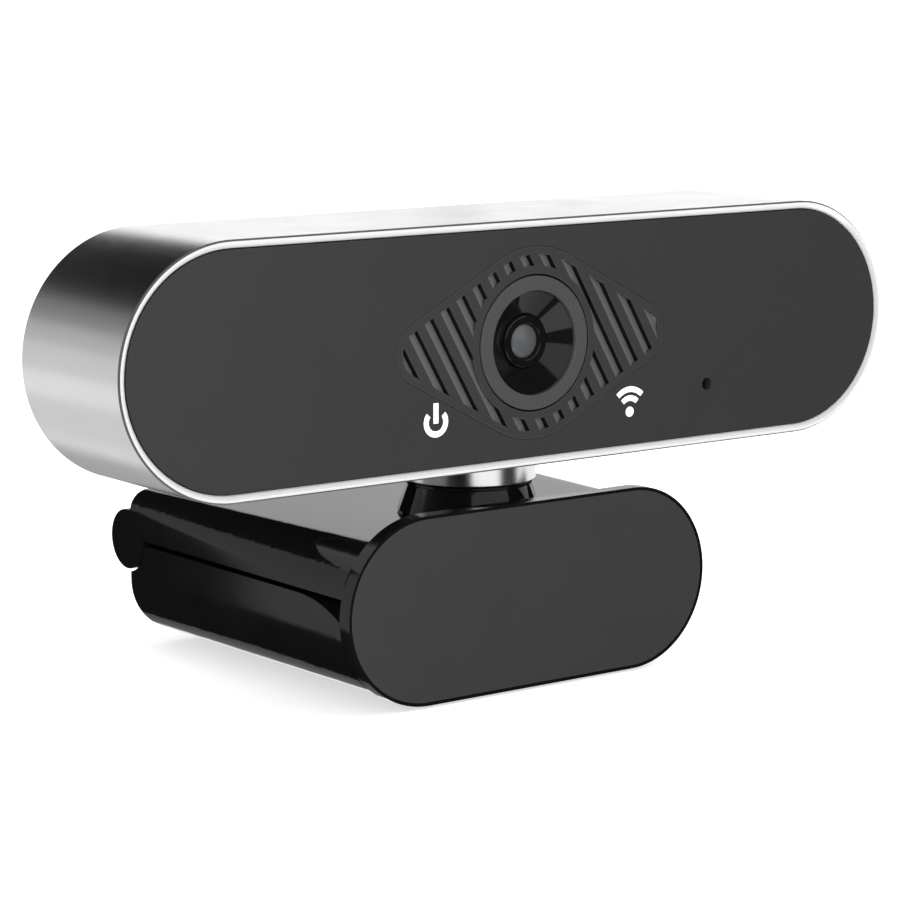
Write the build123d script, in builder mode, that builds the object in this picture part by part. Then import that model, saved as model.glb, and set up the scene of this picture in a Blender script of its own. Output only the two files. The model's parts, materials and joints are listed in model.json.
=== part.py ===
from build123d import *
import math
import os

# Webcam: an aluminium tube head with a flat front panel, on a neck that pans, on a folding screen clip.
# Millimetres. +X is to the camera's left hand as it looks out, the front faces -Y and +Z is up.
# The origin is on the table, under the middle of the object's box, on the axis of the tripod socket.
# Depths are counted backwards from the front plane, which is the foremost edge of the head's rim.

# ---- Head: tube, front panel and rear cover
head_w = 104.0
head_h = 26.8
head_depth = 19.4
rim_wall = 0.9
tube_wall = 1.8
rim_bevel = 0.45
rim_edge = 0.3
panel_recess = 0.2
panel_t = 2.4
cover_recess = 0.3
cover_t = 1.5
panel_gap = 0.1

# ---- Diamond grille round the lens
grille_slope = math.radians(28.0)
grille_crown_r = 10.45
grille_tip_r = 3.43
grille_t = 1.2
grille_gap = 0.06
grille_margin = 0.85
grille_land = 0.85
groove_count = 14
groove_pitch = 2.35
groove_w = 1.25
groove_depth = 0.6
groove_lean = math.radians(30.0)
groove_reach = 30.0
groove_clear = 0.6

# ---- Lens
bezel_front = 0.05
bezel_r = 7.3
bezel_gap = 0.2
bezel_flange = 0.7
bezel_face = 1.65
bezel_break = 0.15
baffle_front = 0.45
baffle_floor = 1.95
baffle_bore_r = 3.0
lens_nose_r = 2.92
lens_body_r = 4.2
lens_r = 1.86
rear_lens_r = 2.56
lens_front = 1.7
lens_shoulder = 4.4
lens_back = 9.2
lens_dome = 0.45
optic_gap = 0.03

# ---- Lens holder, sensor and circuit board
holder_side = 12.0
holder_corner_r = 1.0
holder_front = 7.0
holder_ledge = 9.3
holder_ledge_t = 0.3
holder_window_r = 2.4
holder_room = 9.4
filter_side = 6.0
filter_t = 0.3
sensor_w = 7.0
sensor_h = 6.0
sensor_t = 0.9
board_front = 11.0
board_t = 1.2
board_w = 76.0
board_h = 19.2
board_corner_r = 2.0
chip_side = 10.0
chip_t = 1.0
chip_x = -15.0
header_w = 8.0
header_h = 5.0
header_t = 4.0
header_wall = 1.0
header_floor_t = 1.0
header_x = 16.0

# ---- Icons, lights and microphone, placed from the lens centre
icon_depth = 1.6
icon_gap = 0.04
icon_foot_gap = 0.05
icon_foot_r = 2.2
pipe_r = 1.5
pipe_back = 9.8
power_x = -13.22
power_z = -7.45
power_r = 1.28
power_stroke = 0.62
power_opening = 100.0
power_bar_low = -0.1
power_bar_high = 2.05
power_foot_z = 0.2
signal_x = 13.55
signal_z = -8.75
signal_radii = (1.52, 2.52)
signal_stroke = 0.6
signal_fan = 86.0
signal_dot_r = 0.56
signal_foot_z = 1.1
led_w = 1.6
led_h = 1.0
led_t = 0.8
mic_x = 24.9
mic_z = -6.6
mic_hole_r = 0.7
mic_boot_r = 2.4
mic_w = 3.8
mic_h = 3.0
mic_t = 1.0

# ---- Screws and their posts
screw_r = 0.8
screw_head_r = 1.5
screw_head_t = 0.9
screw_slot_w = 0.35
screw_slot_len = 2.1
screw_slot_depth = 0.4
screw_length = 5.0
thread_gap = 0.02
head_gap = 0.15
post_r = 2.3
board_post_x = 34.0
board_post_z = 6.5
cover_post_x = 43.0

# ---- Cable gland in the rear cover
gland_bore_r = 1.75
gland_neck_r = 3.1
gland_flange_r = 4.2
gland_out = 1.2
gland_in = 1.2
gland_fit = 0.03

# ---- Neck: the head turns on it
neck_depth = 11.9
neck_r = 7.5
neck_h = 2.9
turn_gap = 0.1
shaft_r = 3.0
shaft_run = 0.05
shaft_head_r = 5.0
shaft_head_t = 1.4
collar_h = 3.65
collar_top_r = 6.95
collar_lip_r = 7.1
collar_lip_h = 0.35
collar_foot_r = 8.05
collar_undercut = 0.35
collar_undercut_h = 0.25

# ---- Clip: arm with its front jaw
jaw_front = 0.1
jaw_w = 49.2
jaw_h = 20.7
jaw_t = 1.8
jaw_lip = 0.3
jaw_table_gap = 0.3
plate_t = 0.6
plate_gap = 0.05
arm_inset = 0.45
arm_t = 5.5
arm_web = 2.0
arm_corner_r = 5.4
arm_rear_corner_r = 2.4
nut_pocket_r = 7.2
nut_flat_r = 5.2
nut_t = 1.5
washer_r = 6.4
washer_t = 0.4
spring_washer_r = 5.4
spring_washer_t = 0.5

# ---- Rear leg, folded under the arm
slit = 0.55
leg_t = 11.0
leg_corner_r = 8.0
leg_rear_corner_r = 6.6
leg_front_gap = 0.3
leg_nose_len = 8.1
leg_nose_drop = 2.15
leg_wall = 2.4
leg_cover_t = 1.4
leg_cover_lap = 1.4
leg_cover_gap = 0.1
leg_cover_front = 13.0
leg_cover_back = 38.5
leg_cover_w = 40.0
leg_screw_inset = 3.6

# ---- Leg hinge
hinge_depth = 45.75
hinge_setback = 0.75
barrel_r = 3.5
barrel_swing_gap = 0.3
knuckle_half = 13.4
knuckle_side_gap = 0.1
friction_washer_t = 0.5
friction_washer_r = 3.2
pin_r = 1.5
pin_run = 0.05
pin_recess = 0.4
pin_end_wall = 1.0

# ---- Rubber pads, feet and the tripod nut
pad_t = 0.6
pad_proud = 0.1
jaw_pad_w = 34.0
jaw_pad_h = 7.0
jaw_pad_lift = 2.2
arm_pad_w = 36.0
arm_pad_front = 5.0
arm_pad_back = 24.0
pad_corner_r = 1.5
grip_w = 30.0
grip_len = 8.0
grip_inset = 2.5
foot_h = 1.25
foot_seat = 0.6
foot_w = 26.0
foot_len = 4.0
foot_front_inset = 2.5
foot_back_inset = 6.0
tripod_minor_r = 2.55
tripod_nut_r = 4.0
tripod_nut_h = 6.0
tripod_boss_wall = 2.0

# ---- Worked-out places
bezel_hole_r = bezel_r + bezel_gap
bezel_body_r = bezel_r - bezel_flange
bezel_bore_r = bezel_r - bezel_face
grille_land_r = bezel_hole_r + grille_land
overall_depth = hinge_depth + barrel_r
front_y = -overall_depth / 2
panel_back = panel_recess + panel_t
cover_front = head_depth - cover_recess - cover_t
cover_back = head_depth - cover_recess
grille_floor = panel_recess + grille_t
board_back = board_front + board_t

leg_bottom_z = foot_h
leg_top_z = leg_bottom_z + leg_t
arm_bottom_z = leg_top_z + slit
arm_top_z = arm_bottom_z + arm_t
hinge_y = front_y + hinge_depth
hinge_z = leg_top_z + slit / 2
collar_top_z = arm_top_z + collar_h
neck_bottom_z = collar_top_z + turn_gap
head_bottom_z = neck_bottom_z + neck_h
head_z = head_bottom_z + head_h / 2
head_floor_z = head_bottom_z + tube_wall
neck_y = front_y + neck_depth
jaw_z = jaw_table_gap + jaw_h / 2
jaw_back = jaw_front + jaw_t
arm_back = hinge_depth - hinge_setback
arm_w = jaw_w - 2 * arm_inset
leg_front = jaw_back + pad_proud + leg_front_gap
arm_knuckle_start = knuckle_half + knuckle_side_gap + friction_washer_t
nut_roof_z = arm_top_z - arm_web

os.makedirs("parts", exist_ok=True)


def head_plane(depth):
    """An upright plane, seen from the front, with its origin on the lens axis."""
    return Plane(origin=(0, front_y + depth, head_z), x_dir=(1, 0, 0), z_dir=(0, -1, 0))


def clip_plane(depth):
    """An upright plane, seen from the front, with its origin on the table."""
    return Plane(origin=(0, front_y + depth, 0), x_dir=(1, 0, 0), z_dir=(0, -1, 0))


def save(piece, label):
    """Labels a finished piece and writes it to its own file."""
    piece.part.label = label
    export_step(piece.part, f"parts/{label}.step")


def diamond(sketch, inset):
    """Adds the grille's outline: a rhombus with round crowns and tips, drawn in by inset."""
    reach = grille_crown_r - inset
    half_w = reach / math.sin(grille_slope)
    half_h = reach / math.cos(grille_slope)
    Polygon((half_w, 0), (0, half_h), (-half_w, 0), (0, -half_h), align=None)
    fillet(sketch.vertices().group_by(Axis.Y)[1], grille_tip_r - inset)
    crowns = sketch.vertices().group_by(Axis.Y)
    fillet(crowns[0] + crowns[-1], grille_crown_r - inset)


def power_glyph(grow):
    """Adds the power symbol, an open ring and a bar, with its strokes widened by grow each side."""
    start = 90 + power_opening / 2
    with BuildLine() as ring:
        CenterArc((power_x, power_z), power_r, start, 360 - power_opening)
    trace(ring.edges(), line_width=power_stroke + 2 * grow)
    with Locations((power_x, power_z + (power_bar_low + power_bar_high) / 2)):
        Rectangle(power_stroke + 2 * grow, power_bar_high - power_bar_low + 2 * grow)


def signal_glyph(grow):
    """Adds the signal symbol, a dot under two arcs, with its strokes widened by grow each side."""
    for radius in signal_radii:
        with BuildLine() as arc:
            CenterArc((signal_x, signal_z), radius, 90 - signal_fan / 2, signal_fan)
        trace(arc.edges(), line_width=signal_stroke + 2 * grow)
    with Locations((signal_x, signal_z)):
        Circle(signal_dot_r + grow)


def add_screws(plane, spots, length):
    """Adds cross-slot screws whose heads stand on the plane and whose shanks go in from it."""
    with BuildSketch(plane) as heads:
        with Locations(*spots):
            Circle(screw_head_r)
    extrude(heads.sketch, amount=screw_head_t)
    with BuildSketch(plane) as shanks:
        with Locations(*spots):
            Circle(screw_r)
    extrude(shanks.sketch, amount=-length)
    with BuildSketch(plane.offset(screw_head_t)) as slots:
        with Locations(*spots):
            Rectangle(screw_slot_len, screw_slot_w)
            Rectangle(screw_slot_w, screw_slot_len)
    extrude(slots.sketch, amount=-screw_slot_depth, mode=Mode.SUBTRACT)


def cut_rounds(plane, spots, radius, depth):
    """Cuts a round hole at each spot, from the plane inwards."""
    with BuildSketch(plane) as holes:
        with Locations(*spots):
            Circle(radius)
    extrude(holes.sketch, amount=-depth, mode=Mode.SUBTRACT)


def arm_section(sketch, corner_r):
    """Adds the arm's outline, with its two top corners rounded."""
    with Locations((0, (arm_bottom_z + arm_top_z) / 2)):
        Rectangle(arm_w, arm_t)
    fillet(sketch.vertices().group_by(Axis.Y)[-1], corner_r)


def leg_section(sketch, corner_r):
    """Adds the leg's outline, with its two bottom corners rounded."""
    with Locations((0, (leg_bottom_z + leg_top_z) / 2)):
        Rectangle(arm_w, leg_t)
    fillet(sketch.vertices().group_by(Axis.Y)[0], corner_r)


def hinge_round(x_low, x_high, radius, mode):
    """Adds or cuts a cylinder on the hinge axis between two places along X."""
    with BuildSketch(Plane.YZ.offset(x_low)) as end:
        with Locations((hinge_y, hinge_z)):
            Circle(radius)
    extrude(end.sketch, amount=x_high - x_low, mode=mode)


def revolve_profile(plane, axis, points):
    """Adds the solid that a closed outline sweeps round an axis."""
    with BuildSketch(plane) as section:
        with BuildLine():
            Polyline(*points, close=True)
        make_face()
    revolve(section.sketch, axis=axis)


board_spots = [(x, z) for x in (-board_post_x, board_post_x) for z in (-board_post_z, board_post_z)]
cover_spots = [(-cover_post_x, 0), (cover_post_x, 0)]

# ======== Head ========

# The tube: one wall thickness inside, thinner round the front panel and the rear cover.
with BuildPart() as head_housing:
    with BuildSketch(head_plane(0)):
        SlotOverall(head_w, head_h)
    extrude(amount=-head_depth)
    chamfer(head_housing.faces().sort_by(Axis.Y)[0].edges(), rim_edge)
    with BuildSketch(head_plane(0)):
        SlotOverall(head_w - 2 * tube_wall, head_h - 2 * tube_wall)
    extrude(amount=-head_depth, mode=Mode.SUBTRACT)
    with BuildSketch(head_plane(0)):
        SlotOverall(head_w - 2 * rim_wall, head_h - 2 * rim_wall)
    extrude(amount=-panel_back, mode=Mode.SUBTRACT)
    with BuildSketch(head_plane(cover_front)):
        SlotOverall(head_w - 2 * rim_wall, head_h - 2 * rim_wall)
    extrude(amount=-(head_depth - cover_front), mode=Mode.SUBTRACT)
    rim_inner = head_housing.faces().sort_by(Axis.Y)[0].inner_wires()[0].edges()
    chamfer(rim_inner, rim_bevel)
    with BuildSketch(Plane.XY.offset(head_floor_z)):
        with Locations((0, neck_y)):
            Circle(shaft_r)
    extrude(amount=-(head_floor_z - head_bottom_z), mode=Mode.SUBTRACT)
save(head_housing, "head_housing")

# The front panel carries the grille's pocket, the icon windows and the posts for board and cover.
with BuildPart() as front_panel:
    with BuildSketch(head_plane(panel_recess)):
        SlotOverall(head_w - 2 * (rim_wall + panel_gap), head_h - 2 * (rim_wall + panel_gap))
    extrude(amount=-panel_t)
    with BuildSketch(head_plane(panel_back)):
        with Locations(*board_spots):
            Circle(post_r)
    extrude(amount=-(board_front - panel_back))
    with BuildSketch(head_plane(panel_back)):
        with Locations(*cover_spots):
            Circle(post_r)
    extrude(amount=-(cover_front - panel_back))
    with BuildSketch(head_plane(panel_recess)) as grille_pocket:
        diamond(grille_pocket, -grille_gap)
    extrude(amount=-grille_t, mode=Mode.SUBTRACT)
    cut_rounds(head_plane(0), [(0, 0)], bezel_body_r + optic_gap, panel_back)
    cut_rounds(head_plane(0), [(mic_x, mic_z)], mic_hole_r, panel_back)
    with BuildSketch(head_plane(0)):
        power_glyph(icon_gap)
        signal_glyph(icon_gap)
    extrude(amount=-panel_back, mode=Mode.SUBTRACT)
    icon_feet = [(power_x, power_z + power_foot_z), (signal_x, signal_z + signal_foot_z)]
    cut_rounds(head_plane(panel_recess + icon_depth), icon_feet, icon_foot_r + icon_foot_gap, panel_t)
    cut_rounds(head_plane(board_front - screw_length), board_spots, screw_r + thread_gap, screw_length)
    cut_rounds(head_plane(cover_front - screw_length), cover_spots, screw_r + thread_gap, screw_length)
save(front_panel, "front_panel")

# Slanting louvres: each groove slopes down from one side to a straight wall at the other.
groove_dir = Vector(math.sin(groove_lean), 0, -math.cos(groove_lean))
groove_across = Vector(math.cos(groove_lean), 0, math.sin(groove_lean))
with BuildPart() as grooves:
    with BuildSketch(Plane(head_plane(panel_recess).origin, x_dir=groove_across, z_dir=groove_dir)):
        for index in range(groove_count):
            middle = (index - (groove_count - 1) / 2) * groove_pitch
            left = middle - groove_w / 2
            right = middle + groove_w / 2
            corners = [(left, 0), (left, groove_clear), (right, groove_clear), (right, -groove_depth)]
            Polygon(*corners, align=None)
    extrude(amount=groove_reach, both=True)
    with BuildSketch(head_plane(-groove_clear)) as groove_field:
        diamond(groove_field, grille_margin)
        Circle(grille_land_r, mode=Mode.SUBTRACT)
    extrude(amount=-(panel_recess + groove_depth + 2 * groove_clear), mode=Mode.INTERSECT)

with BuildPart() as diamond_grille:
    with BuildSketch(head_plane(panel_recess)) as grille_outline:
        diamond(grille_outline, 0)
        Circle(bezel_hole_r, mode=Mode.SUBTRACT)
    extrude(amount=-grille_t)
    add(grooves.part, mode=Mode.SUBTRACT)
save(diamond_grille, "diamond_grille")

# Round lens pieces: outlines in radius and depth, turned about the lens axis.
lens_plane = Plane(origin=(0, front_y, head_z), x_dir=(1, 0, 0), z_dir=(0, 0, 1))
lens_axis = Axis((0, front_y, head_z), (0, 1, 0))

with BuildPart() as lens_bezel:
    revolve_profile(
        lens_plane,
        lens_axis,
        [
            (bezel_bore_r + bezel_break, bezel_front),
            (bezel_r - bezel_break, bezel_front),
            (bezel_r, bezel_front + bezel_break),
            (bezel_r, grille_floor),
            (bezel_body_r, grille_floor),
            (bezel_body_r, lens_shoulder),
            (bezel_bore_r, lens_shoulder),
            (bezel_bore_r, bezel_front + bezel_break),
        ],
    )
save(lens_bezel, "lens_bezel")

with BuildPart() as lens_baffle:
    revolve_profile(
        lens_plane,
        lens_axis,
        [
            (bezel_bore_r - optic_gap, baffle_front),
            (bezel_bore_r - optic_gap, lens_shoulder),
            (baffle_bore_r, lens_shoulder),
            (baffle_bore_r, baffle_floor),
        ],
    )
save(lens_baffle, "lens_baffle")

with BuildPart() as lens_barrel:
    revolve_profile(
        lens_plane,
        lens_axis,
        [
            (lens_r + optic_gap, lens_front),
            (lens_nose_r, lens_front),
            (lens_nose_r, lens_shoulder + optic_gap),
            (lens_body_r, lens_shoulder + optic_gap),
            (lens_body_r, lens_back),
            (rear_lens_r + optic_gap, lens_back),
            (rear_lens_r + optic_gap, lens_shoulder),
            (lens_r + optic_gap, lens_shoulder),
        ],
    )
save(lens_barrel, "lens_barrel")

with BuildPart() as front_lens:
    with BuildSketch(lens_plane):
        with BuildLine():
            TangentArc((0, lens_front), (lens_r, lens_front + lens_dome), tangent=(1, 0))
            Line((lens_r, lens_front + lens_dome), (lens_r, lens_shoulder))
            Line((lens_r, lens_shoulder), (0, lens_shoulder))
            Line((0, lens_shoulder), (0, lens_front))
        make_face()
    revolve(axis=lens_axis)
save(front_lens, "front_lens")

rear_lens_front = (lens_shoulder + lens_back) / 2
rear_lens_back = lens_back - lens_dome
with BuildPart() as rear_lens:
    with BuildSketch(lens_plane):
        with BuildLine():
            TangentArc((0, rear_lens_front), (rear_lens_r, rear_lens_front + lens_dome), tangent=(1, 0))
            Line((rear_lens_r, rear_lens_front + lens_dome), (rear_lens_r, rear_lens_back - lens_dome))
            TangentArc((0, rear_lens_back), (rear_lens_r, rear_lens_back - lens_dome), tangent=(1, 0))
            Line((0, rear_lens_back), (0, rear_lens_front))
        make_face()
    revolve(axis=lens_axis)
save(rear_lens, "rear_lens")

# The holder stands on the board; its bore takes the barrel and its hollow foot covers the sensor.
with BuildPart() as lens_holder:
    with BuildSketch(head_plane(holder_front)):
        RectangleRounded(holder_side, holder_side, holder_corner_r)
    extrude(amount=-(board_front - holder_front))
    cut_rounds(head_plane(holder_front), [(0, 0)], lens_body_r + optic_gap, holder_ledge - holder_front)
    cut_rounds(head_plane(holder_ledge), [(0, 0)], holder_window_r, holder_ledge_t)
    with BuildSketch(head_plane(holder_ledge + holder_ledge_t)):
        Rectangle(holder_room, holder_room)
    extrude(amount=-(board_front - holder_ledge), mode=Mode.SUBTRACT)
save(lens_holder, "lens_holder")

with BuildPart() as infrared_filter:
    with BuildSketch(head_plane(holder_ledge + holder_ledge_t)):
        Rectangle(filter_side, filter_side)
    extrude(amount=-filter_t)
save(infrared_filter, "infrared_filter")

with BuildPart() as image_sensor:
    with BuildSketch(head_plane(board_front - sensor_t)):
        Rectangle(sensor_w, sensor_h)
    extrude(amount=-sensor_t)
save(image_sensor, "image_sensor")

with BuildPart() as main_board:
    with BuildSketch(head_plane(board_front)):
        RectangleRounded(board_w, board_h, board_corner_r)
    extrude(amount=-board_t)
    cut_rounds(head_plane(board_front), board_spots, screw_r + head_gap, board_t)
save(main_board, "main_board")

with BuildPart() as board_screws:
    back_of_board = head_plane(board_back)
    screw_side = Plane(back_of_board.origin, x_dir=(-1, 0, 0), z_dir=(0, 1, 0))
    add_screws(screw_side, board_spots, screw_length)
save(board_screws, "board_screws")

with BuildPart() as image_processor:
    with BuildSketch(head_plane(board_back)):
        with Locations((chip_x, 0)):
            Rectangle(chip_side, chip_side)
    extrude(amount=-chip_t)
save(image_processor, "image_processor")

with BuildPart() as cable_header:
    with BuildSketch(head_plane(board_back)):
        with Locations((header_x, 0)):
            Rectangle(header_w, header_h)
            Rectangle(header_w - 2 * header_wall, header_h - 2 * header_wall, mode=Mode.SUBTRACT)
    extrude(amount=-header_t)
    with BuildSketch(head_plane(board_back)):
        with Locations((header_x, 0)):
            Rectangle(header_w - 2 * header_wall, header_h - 2 * header_wall)
    extrude(amount=-header_floor_t)
save(cable_header, "cable_header")


def light_pipe(spot):
    """Adds an icon's foot behind the panel and the round pipe that leads light to it."""
    with BuildSketch(head_plane(panel_recess + icon_depth)) as foot:
        with Locations(spot):
            Circle(icon_foot_r)
    extrude(foot.sketch, amount=-(panel_t - icon_depth))
    with BuildSketch(head_plane(panel_back)) as pipe:
        with Locations(spot):
            Circle(pipe_r)
    extrude(pipe.sketch, amount=-(pipe_back - panel_back))


with BuildPart() as power_icon:
    with BuildSketch(head_plane(panel_recess)):
        power_glyph(0)
    extrude(amount=-icon_depth)
    light_pipe(icon_feet[0])
save(power_icon, "power_icon")

with BuildPart() as signal_icon:
    with BuildSketch(head_plane(panel_recess)):
        signal_glyph(0)
    extrude(amount=-icon_depth)
    light_pipe(icon_feet[1])
save(signal_icon, "signal_icon")

with BuildPart() as status_lights:
    with BuildSketch(head_plane(board_front - led_t)):
        with Locations(*icon_feet):
            Rectangle(led_w, led_h)
    extrude(amount=-led_t)
save(status_lights, "status_lights")

with BuildPart() as microphone:
    with BuildSketch(head_plane(board_front - mic_t)):
        with Locations((mic_x, mic_z)):
            Rectangle(mic_w, mic_h)
    extrude(amount=-mic_t)
save(microphone, "microphone")

with BuildPart() as microphone_boot:
    with BuildSketch(head_plane(panel_back)):
        with Locations((mic_x, mic_z)):
            Circle(mic_boot_r)
            Circle(mic_hole_r, mode=Mode.SUBTRACT)
    extrude(amount=-(board_front - mic_t - panel_back))
save(microphone_boot, "microphone_boot")

with BuildPart() as rear_cover:
    with BuildSketch(head_plane(cover_front)):
        SlotOverall(head_w - 2 * (rim_wall + panel_gap), head_h - 2 * (rim_wall + panel_gap))
    extrude(amount=-cover_t)
    cut_rounds(head_plane(cover_front), cover_spots, screw_r + head_gap, cover_t)
    cut_rounds(head_plane(cover_back - screw_head_t), cover_spots, screw_head_r + head_gap, screw_head_t)
    cut_rounds(head_plane(cover_front), [(0, 0)], gland_neck_r + gland_fit, cover_t)
save(rear_cover, "rear_cover")

with BuildPart() as rear_cover_screws:
    seat = head_plane(cover_back - screw_head_t)
    add_screws(Plane(seat.origin, x_dir=(-1, 0, 0), z_dir=(0, 1, 0)), cover_spots, screw_length)
save(rear_cover_screws, "rear_cover_screws")

with BuildPart() as cable_gland:
    revolve_profile(
        lens_plane,
        lens_axis,
        [
            (gland_bore_r, cover_front - gland_in),
            (gland_flange_r, cover_front - gland_in),
            (gland_flange_r, cover_front),
            (gland_neck_r, cover_front),
            (gland_neck_r, cover_back),
            (gland_flange_r, cover_back),
            (gland_flange_r, cover_back + gland_out / 2),
            (gland_flange_r - gland_out / 2, cover_back + gland_out),
            (gland_bore_r, cover_back + gland_out),
        ],
    )
save(cable_gland, "cable_gland")

# ======== Neck ========

neck_plane = Plane(origin=(0, neck_y, 0), x_dir=(1, 0, 0), z_dir=(0, -1, 0))
neck_axis = Axis((0, neck_y, 0), (0, 0, 1))


def flat_washer(bottom_z, thickness, outer_r, inner_r):
    """Adds a flat ring on the neck's axis."""
    with BuildSketch(Plane.XY.offset(bottom_z)) as ring:
        with Locations((0, neck_y)):
            Circle(outer_r)
            Circle(inner_r, mode=Mode.SUBTRACT)
    extrude(ring.sketch, amount=thickness)


with BuildPart() as neck_ring:
    flat_washer(neck_bottom_z, neck_h, neck_r, shaft_r)
save(neck_ring, "neck_ring")

washer_bottom_z = nut_roof_z - turn_gap - washer_t
spring_bottom_z = washer_bottom_z - spring_washer_t
nut_bottom_z = spring_bottom_z - nut_t

with BuildPart() as neck_shaft:
    with BuildSketch(Plane.XY.offset(head_floor_z)):
        with Locations((0, neck_y)):
            Circle(shaft_head_r)
    extrude(amount=shaft_head_t)
    with BuildSketch(Plane.XY.offset(nut_bottom_z)):
        with Locations((0, neck_y)):
            Circle(shaft_r)
    extrude(amount=head_floor_z - nut_bottom_z)
save(neck_shaft, "neck_shaft")

with BuildPart() as neck_washer:
    flat_washer(washer_bottom_z, washer_t, washer_r, shaft_r)
save(neck_washer, "neck_washer")

with BuildPart() as neck_spring_washer:
    flat_washer(spring_bottom_z, spring_washer_t, spring_washer_r, shaft_r)
save(neck_spring_washer, "neck_spring_washer")

with BuildPart() as neck_nut:
    with BuildSketch(Plane.XY.offset(nut_bottom_z)):
        with Locations((0, neck_y)):
            RegularPolygon(nut_flat_r, 6, major_radius=False)
            Circle(shaft_r, mode=Mode.SUBTRACT)
    extrude(amount=nut_t)
save(neck_nut, "neck_nut")

# The black collar stands on the arm: a cone under a thin lip, with an undercut foot.
with BuildPart() as swivel_collar:
    foot_z = arm_top_z + collar_undercut_h
    revolve_profile(
        neck_plane,
        neck_axis,
        [
            (shaft_r + shaft_run, arm_top_z),
            (collar_foot_r - collar_undercut, arm_top_z),
            (collar_foot_r - collar_undercut, foot_z),
            (collar_foot_r, foot_z),
            (collar_top_r, collar_top_z - collar_lip_h),
            (collar_lip_r, collar_top_z - collar_lip_h),
            (collar_lip_r, collar_top_z),
            (shaft_r + shaft_run, collar_top_z),
        ],
    )
save(swivel_collar, "swivel_collar")

# ======== Clip arm and jaw ========

with BuildPart() as clip_arm:
    with BuildSketch(clip_plane(jaw_back)) as arm_front:
        arm_section(arm_front, arm_corner_r)
    with BuildSketch(clip_plane(arm_back)) as arm_rear:
        arm_section(arm_rear, arm_rear_corner_r)
    loft(ruled=True)
    with BuildSketch(clip_plane(jaw_front)):
        with Locations((0, jaw_z)):
            SlotOverall(jaw_w, jaw_h)
    extrude(amount=-jaw_t)
    for side in (-1, 1):
        ends = sorted((side * arm_knuckle_start, side * arm_w / 2))
        hinge_round(ends[0], ends[1], barrel_r, Mode.ADD)
    hinge_round(-arm_knuckle_start, arm_knuckle_start, barrel_r + barrel_swing_gap, Mode.SUBTRACT)
    hinge_round(-arm_w / 2 + pin_end_wall, arm_w, pin_r, Mode.SUBTRACT)
    with BuildSketch(clip_plane(jaw_front)):
        with Locations((0, jaw_z)):
            SlotOverall(jaw_w - 2 * jaw_lip, jaw_h - 2 * jaw_lip)
    extrude(amount=-plate_t, mode=Mode.SUBTRACT)
    with BuildSketch(clip_plane(jaw_back - pad_t + pad_proud)):
        with Locations((0, jaw_table_gap + jaw_pad_lift + jaw_pad_h / 2)):
            RectangleRounded(jaw_pad_w, jaw_pad_h, pad_corner_r)
    extrude(amount=-jaw_t, mode=Mode.SUBTRACT)
    with BuildSketch(Plane.XY.offset(arm_bottom_z)):
        with Locations((0, neck_y)):
            Circle(nut_pocket_r)
    extrude(amount=nut_roof_z - arm_bottom_z, mode=Mode.SUBTRACT)
    with BuildSketch(Plane.XY.offset(arm_bottom_z)):
        with Locations((0, neck_y)):
            Circle(shaft_r + shaft_run)
    extrude(amount=arm_t, mode=Mode.SUBTRACT)
    with BuildSketch(Plane.XY.offset(arm_bottom_z)):
        with Locations((0, front_y + (arm_pad_front + arm_pad_back) / 2)):
            RectangleRounded(arm_pad_w, arm_pad_back - arm_pad_front, pad_corner_r)
    extrude(amount=pad_t - pad_proud, mode=Mode.SUBTRACT)
save(clip_arm, "clip_arm")

with BuildPart() as jaw_plate:
    with BuildSketch(clip_plane(jaw_front)):
        with Locations((0, jaw_z)):
            SlotOverall(jaw_w - 2 * (jaw_lip + plate_gap), jaw_h - 2 * (jaw_lip + plate_gap))
    extrude(amount=-plate_t)
save(jaw_plate, "jaw_plate")

with BuildPart() as jaw_pad:
    with BuildSketch(clip_plane(jaw_back - pad_t + pad_proud)):
        with Locations((0, jaw_table_gap + jaw_pad_lift + jaw_pad_h / 2)):
            RectangleRounded(jaw_pad_w - 2 * plate_gap, jaw_pad_h - 2 * plate_gap, pad_corner_r)
    extrude(amount=-pad_t)
save(jaw_pad, "jaw_pad")

with BuildPart() as arm_pad:
    with BuildSketch(Plane.XY.offset(arm_bottom_z - pad_proud)):
        with Locations((0, front_y + (arm_pad_front + arm_pad_back) / 2)):
            RectangleRounded(
                arm_pad_w - 2 * plate_gap, arm_pad_back - arm_pad_front - 2 * plate_gap, pad_corner_r
            )
    extrude(amount=pad_t)
save(arm_pad, "arm_pad")

# ======== Rear leg ========

leg_cover_mid_y = front_y + (leg_cover_front + leg_cover_back) / 2
leg_cover_len = leg_cover_back - leg_cover_front
leg_screw_x = leg_cover_w / 2 - leg_screw_inset
leg_screw_y = leg_cover_len / 2 - leg_screw_inset
leg_rows = (leg_cover_mid_y - leg_screw_y, leg_cover_mid_y + leg_screw_y)
leg_spots = [(x, y) for x in (-leg_screw_x, leg_screw_x) for y in leg_rows]
leg_floor_z = leg_bottom_z + leg_wall
foot_spots = [
    (0, front_y + leg_front + foot_front_inset + foot_len / 2),
    (0, front_y + arm_back - foot_back_inset - foot_len / 2),
]

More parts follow.
